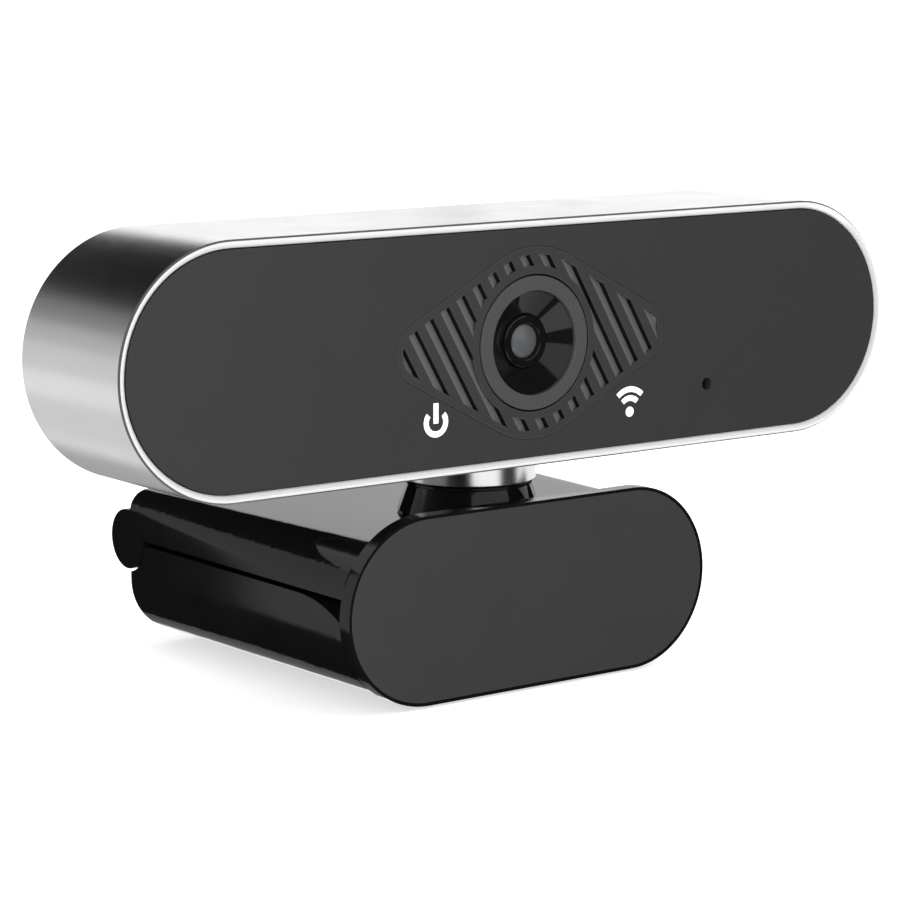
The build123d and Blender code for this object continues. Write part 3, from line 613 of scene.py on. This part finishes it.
def rhombus(inset, steps=1440):
    """The outline, from the way it faces: a crown's circle, or a tip's circle where it faces sideways."""
    facing = (np.arange(steps) + 0.5) / steps * 2 * np.pi
    sideways = np.abs(np.cos(facing)) > math.sin(GRILLE_SLOPE)
    radius = np.where(sideways, GRILLE_TIP, GRILLE_CROWN) - inset
    middle = np.where(sideways, np.sign(np.cos(facing)) * TIP_X, 0.0)
    return np.stack([middle + radius * np.cos(facing), radius * np.sin(facing)], axis=-1)


def reach_along(points, across):
    """Upper side of a convex outline, along the louvres, at each place across them.

    The highest and lowest points across split the ring of points into two chains, and the upper chain is read
    as a graph of along against across.
    """
    first = int(np.argmin(points[:, 0]))
    ring = np.roll(points, -first, axis=0)
    last = int(np.argmax(ring[:, 0]))
    chains = [ring[: last + 1], np.concatenate([ring[last:], ring[:1]])[::-1]]
    upper = max(chains, key=lambda chain: chain[:, 1].mean())
    return np.interp(across, upper[:, 0], upper[:, 1])


print("grille width", round(float(np.ptp(rhombus(0.0)[:, 0])) * 1000, 2), "mm")

# %% [markdown]
# Slanting louvres are sunk into the grille: each falls along a ramp and ends in a narrow slot. They could be
# cut with booleans, but a grid whose columns run along the louvres gives straight edges: only the depth of
# the columns changes. The ramps and the slots have finishes of their own: the ramps a lighter grey, a painted
# highlight, and the slots black, a painted shade.

# %% Louvres of the grille
LOUVRE_COUNT = 14
LOUVRE_PITCH = 2.35 * MM
LOUVRE_WIDTH = 1.25 * MM
LOUVRE_DEPTH = 0.5 * MM
LOUVRE_LEAN = math.radians(30.0)
SLOT_WIDTH = 0.16 * MM
SLOT_DEPTH = 0.8 * MM
HAIR = 0.004 * MM
# Material numbers of the slots, painted black as a painted shade, and of the ramps, painted lighter grey as a
# painted highlight.
SLOT_PAINTED_SHADE = 1
RAMP_PAINTED_HIGHLIGHT = 2
LEAN_COS = math.cos(LOUVRE_LEAN)
LEAN_SIN = math.sin(LOUVRE_LEAN)
LEAN_TURN = np.array([[LEAN_COS, LEAN_SIN], [-LEAN_SIN, LEAN_COS]])
LOUVRE_END = LOUVRE_WIDTH / 2
SLOT_START = LOUVRE_END - SLOT_WIDTH
LOUVRE_CORNERS = np.array([-LOUVRE_END, SLOT_START - HAIR, SLOT_START, LOUVRE_END, LOUVRE_END + HAIR])


def from_louvre(across):
    """Place across within the louvre that it belongs to, counted from that louvre's middle."""
    return (across + LOUVRE_COUNT / 2 * LOUVRE_PITCH) % LOUVRE_PITCH - LOUVRE_PITCH / 2


def louvre_profile(across):
    """Depth at each place across: flat, a ramp that falls, a narrow deep slot, and flat again."""
    return np.interp(from_louvre(across), LOUVRE_CORNERS, [0.0, LOUVRE_DEPTH, SLOT_DEPTH, SLOT_DEPTH, 0.0])


def louvre_columns(limit):
    """Places across the louvres: the corners of every louvre, and enough others to keep the circles round."""
    middles = (np.arange(LOUVRE_COUNT) - (LOUVRE_COUNT - 1) / 2) * LOUVRE_PITCH
    corners = (middles[:, None] + LOUVRE_CORNERS).ravel()
    corners = np.concatenate([corners, [-GRILLE_LAND, -GRILLE_HOLE, GRILLE_HOLE, GRILLE_LAND, -limit, limit]])
    sweep = np.sin(np.linspace(-np.pi / 2, np.pi / 2, 81)[1:-1])
    tips = limit - GRILLE_TIP * (1 - np.sin(np.linspace(0, np.pi / 2, 17)[1:-1]))
    extra = np.concatenate([GRILLE_HOLE * sweep, GRILLE_LAND * sweep, tips, -tips])
    far = np.abs(extra[:, None] - corners[None]).min(axis=1) > 2 * HAIR
    across = np.unique(np.concatenate([corners, extra[far]]))
    return across[np.abs(across) <= limit]


def half_grille(sign):
    """One half of the grille: for each place across, the rows run outward along the louvres.

    The rows are the hole or the middle line, the inner and outer ends of the louvres, and the outline. The
    two halves meet on the middle line, so there the first row needs no wall.
    """
    edge = rhombus(0.0) @ LEAN_TURN.T
    field = rhombus(GRILLE_MARGIN) @ LEAN_TURN.T
    limit = float(edge[:, 0].max())
    field_limit = float(field[:, 0].max()) - HAIR
    across = louvre_columns(limit)
    place = across * sign
    top = reach_along(edge, place)
    field_top = reach_along(field, np.clip(place, -field_limit, field_limit))
    field_low = -reach_along(field, np.clip(-place, -field_limit, field_limit))
    middle = np.minimum(np.maximum(0.0, field_low + 4 * HAIR), field_top - 4 * HAIR)
    middle = np.minimum(np.maximum(middle, -reach_along(edge, -place)), top)
    hole = np.where(np.abs(place) < GRILLE_HOLE, np.sqrt(np.maximum(GRILLE_HOLE**2 - place**2, 0)), middle)
    land = np.where(np.abs(place) < GRILLE_LAND, np.sqrt(np.maximum(GRILLE_LAND**2 - place**2, 0)), middle)
    within = np.abs(place) < field_limit
    reach = np.where(within, np.maximum(field_top, land), land)
    top = np.maximum(top, reach)
    sunk = np.where(within & (reach > land + HAIR), louvre_profile(across), 0.0)
    inner = np.where(np.abs(place) >= GRILLE_LAND, sunk, 0.0)
    flat = np.zeros_like(place)
    front, back = depths("diamond_grille")
    low = flat + back - front
    along = np.stack([hole, hole, land, land, reach, reach, top, top])
    depth = np.stack([low, inner, inner, sunk, sunk, flat, flat, low]) + front
    spot = np.stack([np.broadcast_to(place, along.shape), along], axis=-1) * sign @ LEAN_TURN
    grid = np.stack([spot[..., 0], FRONT_Y + depth, LENS_Z + spot[..., 1]], axis=-1)
    return grid, np.abs(across) >= GRILLE_HOLE - HAIR


def grille_shell(sign):
    """Quads of one half, with no wall on the middle line, where it meets the other half."""
    grid, open_line = half_grille(sign)
    rows, columns = grid.shape[:2]
    index = np.arange(rows * columns).reshape(rows, columns)
    index = np.concatenate([index, index[:1]])
    quads = quads_of(index)
    keep = np.ones(quads.shape[:2], bool)
    keep[0] = ~(open_line[:-1] & open_line[1:])
    faces = quads[keep]
    if sign < 0:
        faces = faces[:, ::-1]
    return grid.reshape(-1, 3), faces


def make_grille():
    """Both halves as one closed shell, its faces turned outward by its volume."""
    points = []
    faces = []
    start = 0
    for sign in (1, -1):
        half_points, half_faces = grille_shell(sign)
        points.append(half_points)
        faces.append(half_faces + start)
        start += len(half_points)
    points = np.concatenate(points)
    faces = np.concatenate(faces).tolist()
    if signed_volume(points, faces) < 0:
        faces = [face[::-1] for face in faces]
    return make_piece(
        "grille_plate", "head", "grille_plastic", [(points, faces)], ["diamond_grille"], GRILLE_SHARP
    )


def mark_louvres(piece):
    """Gives the slots black paint, a painted shade, and the ramps a lighter grey, a painted highlight, by
    their place across and the way they face.
    """
    middle = per_face(piece, "center")
    facing = per_face(piece, "normal")
    across = np.stack([middle[:, 0], middle[:, 2] - LENS_Z], axis=-1) @ LEAN_TURN.T[:, 0]
    local = from_louvre(across)
    front = FRONT_Y + depths("diamond_grille")[0]
    behind = (middle[:, 1] > front + 0.02 * MM) & (middle[:, 1] < front + SLOT_DEPTH + HAIR)
    slot = behind & (local > SLOT_START - 2 * HAIR) & (local < LOUVRE_END + 2 * HAIR)
    ramp = behind & ~slot & (facing[:, 1] < -0.5) & (np.abs(facing[:, 0]) > 0.1)
    # Slots: black paint, a painted shade. Ramps: lighter grey, a painted highlight.
    kind = np.where(slot, SLOT_PAINTED_SHADE, np.where(ramp, RAMP_PAINTED_HIGHLIGHT, 0))
    piece.data.polygons.foreach_set("material_index", kind.astype(np.int32))
    return int(slot.sum()), int(ramp.sum())


grille = make_grille()

# %% [markdown]
# The neck is a polished ring fixed to the head, over a black collar that stands on the clip. A sharp lip and
# an undercut foot make the thin lines that show where one piece stops and the next begins.

# %% Neck ring and collar
SHAFT_RADIUS = 3.0 * MM
COLLAR_LIP = 0.35 * MM
COLLAR_TOP = 6.95 * MM
COLLAR_LIP_RADIUS = 7.1 * MM
COLLAR_FOOT_LIFT = 0.25 * MM
COLLAR_UNDERCUT = 0.35 * MM


def neck_ring_section():
    """A plain ring with softly broken edges."""
    low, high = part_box("neck_ring")
    outer = radius_of("neck_ring")
    corners = [(SHAFT_RADIUS, low.z), (outer, low.z), (outer, high.z), (SHAFT_RADIUS, high.z)]
    return soften(corners, [0.05 * MM, 0.18 * MM, 0.08 * MM, 0.05 * MM])


def collar_section():
    """A cone under a thin lip, with an undercut foot."""
    low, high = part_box("swivel_collar")
    foot = radius_of("swivel_collar")
    foot_z = low.z + COLLAR_FOOT_LIFT
    lip_z = high.z - COLLAR_LIP
    waist = foot - COLLAR_UNDERCUT
    corners = [(SHAFT_RADIUS, low.z), (waist, low.z), (waist, foot_z), (foot, foot_z), (COLLAR_TOP, lip_z)]
    corners += [(COLLAR_LIP_RADIUS, lip_z), (COLLAR_LIP_RADIUS, high.z), (SHAFT_RADIUS, high.z)]
    edge = 0.03 * MM
    return soften(corners, [edge, edge, edge, 3 * edge, edge, 2 * edge, 3 * edge, edge])


make_ring("neck_band", "head", "bright_metal", turn_on_neck(neck_ring_section()), "neck_ring")
collar = make_ring("neck_collar", "clip", "gloss_black", turn_on_neck(collar_section()), "swivel_collar")

# %% [markdown]
# Plates, pads and feet are flat pieces with a rounded outline and a rounded edge. The same rows go round
# each outline, upright for the jaw and level for the arm and the leg. The jaw plate asks for a larger corner
# than it has room for, and so its ends come out as half circles.

# %% Jaw plate, pads and feet
ROUND_ENDS = 1.0
JAW_EDGE = 0.1 * MM
PAD_CORNER = 1.5 * MM
PAD_EDGE = 0.12 * MM
FOOT_LENGTH = 3.9 * MM
FOOT_EDGE = 0.25 * MM


def upright_plate(name, slot_name, node, corner, edge):
    """A plate on the clip's jaw, filling its CAD node's box; no corner is rounder than half its height."""
    low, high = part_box(node)
    size = high - low
    path = outline(size.x, size.z, min(corner, size.z / 2), 48, 24)
    rows = plate_rows(*depths(node), edge, 1.0 * MM)
    grid = carry_upright(rows, path, (low.z + high.z) / 2)
    return make_piece(name, "clip", slot_name, [shell(grid)], [node])


def level_plates(name, body, slot_name, node, corner, edge, middles, length):
    """Level plates of one size at several places along Y, filling their CAD node's box."""
    low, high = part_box(node)
    path = outline(high.x - low.x, length, corner, 16, 12)
    rows = plate_rows(low.z, high.z, edge, 0.8 * MM)
    shells = [shell(carry_level(rows, path, middle)) for middle in middles]
    return make_piece(name, body, slot_name, shells, [node])


def level_pad(name, body, node):
    """One level rubber pad."""
    low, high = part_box(node)
    middles = [(low.y + high.y) / 2]
    return level_plates(name, body, "rubber", node, PAD_CORNER, PAD_EDGE, middles, high.y - low.y)


jaw_plate = upright_plate("jaw_face", "clip_plate", "jaw_plate", ROUND_ENDS, JAW_EDGE)
upright_plate("jaw_rubber", "rubber", "jaw_pad", PAD_CORNER, PAD_EDGE)
level_pad("arm_rubber", "clip", "arm_pad")
level_pad("leg_grip_rubber", "leg", "leg_grip_pad")
feet_low, feet_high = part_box("leg_feet")
foot_middles = [feet_low.y + FOOT_LENGTH / 2, feet_high.y - FOOT_LENGTH / 2]
level_plates("leg_rubber_feet", "leg", "rubber", "leg_feet", PAD_CORNER, FOOT_EDGE, foot_middles, FOOT_LENGTH)

# %% [markdown]
# The cord's gland is a rubber bush with a round flange on each side of the back cover. The tripod nut is a
# brass bush, and its thread is a real helix: the wall moves in and out as a triangle wave of height less
# angle, so the groove climbs by one pitch in each turn.

# %% Gland and tripod nut
GLAND_BORE = 1.75 * MM
GLAND_NECK = 3.1 * MM
THREAD_PITCH = 1.27 * MM
THREAD_DEPTH = 0.45 * MM
THREAD_BORE = 2.55 * MM
THREAD_FADE = 0.6


def gland_section():
    """Two flanges and a neck, with a round outer shoulder."""
    front, back = depths("cable_gland")
    cover_front, cover_back = depths("rear_cover")
    flange = radius_of("cable_gland")
    corners = [(GLAND_BORE, front), (flange, front), (flange, cover_front), (GLAND_NECK, cover_front)]
    corners += [(GLAND_NECK, cover_back), (flange, cover_back), (flange, back), (GLAND_BORE, back)]
    edge = 0.05 * MM
    return soften(corners, [edge, edge, edge, edge, edge, 2 * edge, 14 * edge, 5 * edge], 6)


make_ring("cord_gland", "head", "rubber", turn_on_lens_axis(gland_section()), "cable_gland")


def threaded_bush(rows_per_pitch=10, steps=96):
    """Outer wall and ends of the bush, and a threaded bore whose radius is a triangle wave of the helix."""
    low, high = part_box("tripod_nut")
    outer = radius_of("tripod_nut")
    angles = np.linspace(0, 2 * np.pi, steps, endpoint=False)[None]
    count = int((high.z - low.z) / THREAD_PITCH * rows_per_pitch)
    height = np.linspace(low.z, high.z, count)[:, None]
    turn = (height / THREAD_PITCH - angles / (2 * np.pi)) % 1.0
    fade = np.clip(np.minimum(height - low.z, high.z - height) / (THREAD_FADE * THREAD_PITCH), 0, 1)
    wave = 1 - np.abs(2 * turn - 1)
    inner = THREAD_BORE + THREAD_DEPTH * wave * fade + THREAD_DEPTH * THREAD_FADE * (1 - fade)
    radius = np.concatenate([inner, np.full((2, steps), outer)])
    outside = [[high.z] * steps, [low.z] * steps]
    place = np.concatenate([np.broadcast_to(height, inner.shape), outside])
    angles = np.broadcast_to(angles, radius.shape)
    return np.stack([radius * np.cos(angles), radius * np.sin(angles), place], axis=-1)


make_ring("tripod_bush", "leg", "brass", threaded_bush(), "tripod_nut")

# %% [markdown]
# Pieces with many pockets and holes keep the solid model's faces. A copy of each has its loose triangles
# merged and its flat ones dissolved, and then a narrow bevel rounds every sharp edge, so that the edges
# catch the light as moulded ones do.

# %% Copies with softened edges
COPY_WELD = 1e-6
BODY_EDGE = 0.15 * MM
COVER_EDGE = 0.12 * MM
SCREW_EDGE = 0.05 * MM


def softened_copy(name, node, slot_name, width, angle=30.0, segments=3, flat=0.5):
    """A merged copy of a CAD node with its sharp edges bevelled."""
    source = frame["nodes"][node]
    mesh = source.data.copy()
    mesh.name = name
    if "custom_normal" in mesh.attributes:
        mesh.attributes.remove(mesh.attributes["custom_normal"])
    build = bmesh.new()
    build.from_mesh(mesh)
    bmesh.ops.remove_doubles(build, verts=build.verts, dist=COPY_WELD)
    bmesh.ops.dissolve_limit(
        build, angle_limit=math.radians(flat), verts=build.verts, edges=build.edges,
        use_dissolve_boundaries=False,
    )
    build.to_mesh(mesh)
    build.free()
    mesh.polygons.foreach_set("material_index", np.zeros(len(mesh.polygons), np.int32))
    piece = place_piece(name, mesh, source["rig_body"], slot_name, [node])
    bevel = piece.modifiers.new("soft_edges", "BEVEL")
    bevel.width = width
    bevel.segments = segments
    bevel.limit_method = "ANGLE"
    bevel.angle_limit = math.radians(angle)
    bevel.harden_normals = True
    bevel.miter_outer = "MITER_ARC"
    return piece


clip_arm = softened_copy("clip_arm_body", "clip_arm", "gloss_black", BODY_EDGE)
rear_leg = softened_copy("rear_leg_body", "rear_leg", "gloss_black", BODY_EDGE)
softened_copy("back_cover", "rear_cover", "black_moulding", COVER_EDGE)
leg_cover = softened_copy("leg_lid", "leg_cover", "black_moulding", COVER_EDGE)
softened_copy("back_screws", "rear_cover_screws", "steel", SCREW_EDGE, segments=2)
softened_copy("leg_screws", "leg_cover_screws", "steel", SCREW_EDGE, segments=2)

# %% [markdown]
# Effects that several finishes share are node groups with named inputs and outputs. Fine grain is two sizes
# of noise, like the texture etched into a mould. Brushed lines are noise stretched along one axis. Handling
# is a slow cloudy mask, for finger grease and dust. Edge wear and highlight compares the rounded normal with
# the true one: it marks the edges, which are then lightened partly as wear and partly as a painted highlight.

# %% Shader groups


def new_group(name, inputs, outputs):
    """An empty shader node group with float inputs and outputs."""
    tree = bpy.data.node_groups.new(name, "ShaderNodeTree")
    for label, value in inputs.items():
        socket = tree.interface.new_socket(label, in_out="INPUT", socket_type="NodeSocketFloat")
        socket.default_value = value
    for label in outputs:
        tree.interface.new_socket(label, in_out="OUTPUT", socket_type="NodeSocketFloat")
    return tree, tree.nodes.new("NodeGroupInput"), tree.nodes.new("NodeGroupOutput")


def add_noise(tree, vector, scale, detail=2.0):
    """A noise node on a vector; scale is a number or a socket."""
    noise = tree.nodes.new("ShaderNodeTexNoise")
    noise.inputs["Detail"].default_value = detail
    tree.links.new(vector, noise.inputs["Vector"])
    if isinstance(scale, (int, float)):
        noise.inputs["Scale"].default_value = scale
    else:
        tree.links.new(scale, noise.inputs["Scale"])
    return noise.outputs["Fac"]


def add_math(tree, operation, first, second):
    """A math node; each term is a number or a socket."""
    node = tree.nodes.new("ShaderNodeMath")
    node.operation = operation
    for index, term in enumerate((first, second)):
        if isinstance(term, (int, float)):
            node.inputs[index].default_value = term
        else:
            tree.links.new(term, node.inputs[index])
    return node.outputs[0]


def object_place(tree):
    """The point on the piece, in the piece's own coordinates."""
    return tree.nodes.new("ShaderNodeTexCoord").outputs["Object"]


def make_fine_grain():
    """Height is mostly fine noise with a little coarse noise; Tone is the coarse one."""
    tree, source, result = new_group("fine_grain", {"Scale": 6000.0}, ["Height", "Tone"])
    place = object_place(tree)
    fine = add_noise(tree, place, source.outputs["Scale"], 3.0)
    coarse = add_noise(tree, place, add_math(tree, "MULTIPLY", source.outputs["Scale"], 0.04), 2.0)
    height = add_math(tree, "ADD", fine, add_math(tree, "MULTIPLY", coarse, 0.3))
    tree.links.new(height, result.inputs["Height"])
    tree.links.new(coarse, result.inputs["Tone"])
    return tree


def make_brushed_lines():
    """Noise on a place whose three coordinates are each scaled: a small scale makes long lines that way."""
    tree, source, result = new_group(
        "brushed_lines", {"Along X": 60.0, "Along Y": 9000.0, "Along Z": 9000.0}, ["Height", "Tone"]
    )
    place = object_place(tree)
    factors = tree.nodes.new("ShaderNodeCombineXYZ")
    for axis in "XYZ":
        tree.links.new(source.outputs["Along " + axis], factors.inputs[axis])
    stretch = tree.nodes.new("ShaderNodeVectorMath")
    stretch.operation = "MULTIPLY"
    tree.links.new(place, stretch.inputs[0])
    tree.links.new(factors.outputs[0], stretch.inputs[1])
    lines = add_noise(tree, stretch.outputs[0], 1.0, 4.0)
    tree.links.new(lines, result.inputs["Height"])
    tree.links.new(add_noise(tree, place, 90.0, 2.0), result.inputs["Tone"])
    return tree


def make_handling():
    """A cloudy mask with some fine speckle in it."""
    tree, source, result = new_group("handling", {"Scale": 120.0}, ["Mask"])
    place = object_place(tree)
    clouds = add_noise(tree, place, source.outputs["Scale"], 5.0)
    speckle = add_noise(tree, place, add_math(tree, "MULTIPLY", source.outputs["Scale"], 25.0), 1.0)
    mixed = add_math(tree, "MULTIPLY", clouds, add_math(tree, "ADD", speckle, 0.5))
    tree.links.new(mixed, result.inputs["Mask"])
    return tree


# Edge mask for lighter edges: partly wear, partly a painted highlight.
def make_edge_wear_and_highlight():
    """Mask is one less the cosine between the rounded and the true normal, broken up by noise."""
    tree, source, result = new_group("edge_wear_and_highlight", {"Amount": 6.0}, ["Mask"])
    rounded = tree.nodes.new("ShaderNodeBevel")
    rounded.samples = 4
    rounded.inputs["Radius"].default_value = 0.25 * MM
    true = tree.nodes.new("ShaderNodeNewGeometry")
    compare = tree.nodes.new("ShaderNodeVectorMath")
    compare.operation = "DOT_PRODUCT"
    tree.links.new(rounded.outputs["Normal"], compare.inputs[0])
    tree.links.new(true.outputs["Normal"], compare.inputs[1])
    turned = add_math(tree, "SUBTRACT", 1.0, compare.outputs["Value"])
    place = object_place(tree)
    patchy = add_noise(tree, place, 900.0, 3.0)
    strength = add_math(tree, "MULTIPLY", turned, source.outputs["Amount"])
    worn_and_lit = add_math(tree, "MULTIPLY", strength, patchy)
    tree.links.new(add_math(tree, "MINIMUM", worn_and_lit, 1.0), result.inputs["Mask"])
    return tree


built = (make_fine_grain(), make_brushed_lines(), make_handling(), make_edge_wear_and_highlight())
groups = {tree.name: tree for tree in built}
print("shader groups", sorted(groups))

# %% [markdown]
# Every finish is one Principled shader. Its colour is varied a little by the tone of its pattern and
# lightened at its edges, partly as wear and partly as a painted highlight, its roughness follows the handling
# mask, and its normal comes from the pattern's height.

# %% Finish builder
# Lighter edge colour: partly wear, partly a painted highlight.
WORN_HIGHLIGHT_GAIN = 1.8
WORN_HIGHLIGHT_LIFT = 0.02
finishes = {}


def grey(level):
    """A neutral colour."""
    return (level, level, level, 1.0)


def use_group(tree, name, values):
    """Places a shader group with its own values."""
    node = tree.nodes.new("ShaderNodeGroup")
    node.node_tree = groups[name]
    for label, value in values.items():
        node.inputs[label].default_value = value
    return node


def spread(tree, mask, low, high):
    """Maps a mask from 0..1 to low..high."""
    node = tree.nodes.new("ShaderNodeMapRange")
    node.inputs["To Min"].default_value = low
    node.inputs["To Max"].default_value = high
    tree.links.new(mask, node.inputs["Value"])
    return node.outputs["Result"]


def mix_colours(tree, mask, first, second):
    """Mixes two colours by a mask; each is a colour or a socket."""
    node = tree.nodes.new("ShaderNodeMix")
    node.data_type = "RGBA"
    tree.links.new(mask, node.inputs[0])
    for index, term in ((6, first), (7, second)):
        if isinstance(term, bpy.types.NodeSocket):
            tree.links.new(term, node.inputs[index])
        else:
            node.inputs[index].default_value = term
    return node.outputs[2]


def scaled(colour, gain, lift=0.0):
    """A colour made lighter or darker, and never more than white."""
    return tuple(min(1.0, channel * gain + lift) for channel in colour[:3]) + (1.0,)


def finish(
    name, colour, roughness, pattern="fine_grain", relief=0.02, tone=0.1, clean=0.03, wear_and_highlight=0.0, **more
):
    """Adds a material: colour, roughness, pattern group with values, relief in mm, and shader extras."""
    material = bpy.data.materials.new(name)
    material.use_nodes = True
    tree = material.node_tree
    shader = tree.nodes["Principled BSDF"]
    pattern_node = use_group(tree, pattern, more.pop("values", {}))
    darker = scaled(colour, 1 - tone)
    base = mix_colours(tree, pattern_node.outputs["Tone"], darker, scaled(colour, 1 + tone))
    # Lighter edges: partly wear, partly a painted highlight.
    if wear_and_highlight > 0:
        edges = use_group(tree, "edge_wear_and_highlight", {"Amount": wear_and_highlight})
        base = mix_colours(tree, edges.outputs["Mask"], base, scaled(colour, WORN_HIGHLIGHT_GAIN, WORN_HIGHLIGHT_LIFT))
    tree.links.new(base, shader.inputs["Base Color"])
    handled = use_group(tree, "handling", {})
    rough = spread(tree, handled.outputs["Mask"], roughness - clean, roughness + clean)
    tree.links.new(rough, shader.inputs["Roughness"])
    bump = tree.nodes.new("ShaderNodeBump")
    bump.inputs["Strength"].default_value = 1.0
    bump.inputs["Distance"].default_value = relief * MM
    tree.links.new(pattern_node.outputs["Height"], bump.inputs["Height"])
    tree.links.new(bump.outputs["Normal"], shader.inputs["Normal"])
    for socket, value in more.items():
        shader.inputs[socket.replace("_", " ")].default_value = value
    finishes[name] = material


# %% [markdown]
# The finishes, by the slots of the record. Dark plastics differ mostly in gloss. The aluminium has fine lines
# along the tube, the cut bevel is smoother and painted near-white, a painted highlight, the broken edge
# outside it is painted dark grey, a painted shade, and the neck ring is polished round and round.

# %% The finishes
LINES_ALONG_X = {"Along X": 40.0, "Along Y": 7000.0, "Along Z": 7000.0}
LINES_ROUND_Z = {"Along X": 30.0, "Along Y": 30.0, "Along Z": 14000.0}
MATTE = dict(relief=0.006, tone=0.04, clean=0.05)
finish("satin_aluminium", (0.80, 0.805, 0.815, 1), 0.23, "brushed_lines", 0.003, 0.02, 0.04,
       Metallic=1.0, values=LINES_ALONG_X)
finish("bright_metal", (0.86, 0.86, 0.87, 1), 0.24, "brushed_lines", 0.0008, 0.02, 0.03,
       Metallic=1.0, values=LINES_ROUND_Z)
finish("matte_panel", grey(0.0235), 0.52, **MATTE)
finish("grille_plastic", grey(0.0245), 0.5, wear_and_highlight=3.0, **MATTE)
finish("bezel_plastic", grey(0.044), 0.42, relief=0.004, tone=0.04, clean=0.04)
finish("gloss_black", grey(0.004), 0.07, relief=0.0006, tone=0.3, clean=0.025)
finish("clip_plate", grey(0.027), 0.5, **MATTE)
finish("black_moulding", grey(0.02), 0.5, relief=0.02, tone=0.1, wear_and_highlight=2.0)
finish("lens_glass", (0.062, 0.064, 0.068, 1), 0.3, relief=0.0, Coat_Weight=0.5, Coat_Roughness=0.15)
finish("rubber", grey(0.018), 0.75, relief=0.03, tone=0.2, clean=0.08, values={"Scale": 4000.0})
# The white icons glow a little, though they are no lamp: a painted glow.
finish("white_icon", grey(0.93), 0.35, relief=0.002, tone=0.01, Emission_Strength=0.25,
       Emission_Color=WHITE)
finish("circuit_board", (0.01, 0.08, 0.04, 1), 0.35, relief=0.01, tone=0.25)
finish("chip", grey(0.03), 0.45, relief=0.01)
finish("header_white", (0.75, 0.73, 0.66, 1), 0.4, relief=0.01)
finish("light_yellow", (0.8, 0.74, 0.4, 1), 0.2, relief=0.002)
finish("steel", (0.56, 0.56, 0.57, 1), 0.32, "brushed_lines", 0.002, 0.05, 0.06, Metallic=1.0)
finish("brass", (0.72, 0.53, 0.24, 1), 0.28, "brushed_lines", 0.002, 0.05, 0.06,
       Metallic=1.0, values=LINES_ROUND_Z)
# The cut bevel is a real polished cut, painted near-white and partly diffuse as a painted highlight. The
# broken edge is painted dark grey, a painted shade.
finish("cut_painted_highlight", (0.97, 0.97, 0.97, 1), 0.22, "brushed_lines", 0.0005, 0.01, 0.03,
       Metallic=0.3, values=LINES_ALONG_X)
finish("edge_painted_shade", (0.12, 0.12, 0.122, 1), 0.4, "brushed_lines", 0.0005, 0.02, 0.03,
       Metallic=0.2, values=LINES_ALONG_X)
# Slots painted black, a painted shade; ramps painted lighter grey, a painted highlight.
finish("slot_painted_shade", grey(0.006), 0.6, relief=0.004)
finish("ramp_painted_highlight", grey(0.085), 0.4, relief=0.004, tone=0.04)
print("finishes", len(finishes))

# %% [markdown]
# Every piece gets the finish of its slot, and so does every CAD node that still shows. The tube's bevel and
# edge and the grille's slots and ramps get theirs after that, face by face: a painted highlight on the bevel
# and the ramps, a painted shade on the edge and in the slots.

# %% Dress the pieces
slot_of = {part["node"]: part["material_slot"] for part in frame["record"]["subparts"]}


def dress_everything():
    """Gives every new piece and every CAD node the finish of its slot."""
    for node, item in frame["nodes"].items():
        item.data.materials.clear()
        item.data.materials.append(finishes[slot_of[node]])
    made = [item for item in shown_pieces() if "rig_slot" in item]
    for item in made:
        item.data.materials.clear()
        item.data.materials.append(finishes[item["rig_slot"]])
    return len(made)


print("pieces dressed", dress_everything())
# The bevel gets near-white paint, a painted highlight; the outer edge gets dark grey paint, a painted shade.
housing.data.materials.append(finishes["cut_painted_highlight"])
housing.data.materials.append(finishes["edge_painted_shade"])
print("bright cut and soft edge faces", mark_painted_cut_and_edge(housing))
# The grille's slots get black paint, a painted shade, and its ramps lighter grey paint, a painted highlight.
grille.data.materials.append(finishes["slot_painted_shade"])
grille.data.materials.append(finishes["ramp_painted_highlight"])
print("slot and ramp faces", mark_louvres(grille))

# %% [markdown]
# A soft box that is linked to a collection lights nothing else, so every piece goes into the collection of
# metal pieces or into the other one. The clip's arm, with its plate and collar, and its leg, with its cover,
# are also in a collection each, for the panes.

# %% Sort the pieces for the lights
METAL_SLOTS = ("satin_aluminium", "bright_metal", "steel", "brass")


def sort_for_lights():
    """Puts every piece in the collection that its own soft boxes are linked to."""
    for node, item in frame["nodes"].items():
        home = metal_pieces if slot_of[node] in METAL_SLOTS else other_pieces
        home.objects.link(item)
    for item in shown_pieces():
        if "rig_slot" in item:
            home = metal_pieces if item["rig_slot"] in METAL_SLOTS else other_pieces
            if item.name not in home.objects:
                home.objects.link(item)
    for item in (clip_arm, jaw_plate, collar):
        arm_pieces.objects.link(item)
    for item in (rear_leg, leg_cover):
        leg_pieces.objects.link(item)
    return len(metal_pieces.objects), len(other_pieces.objects)


print("metal and other pieces", sort_for_lights())
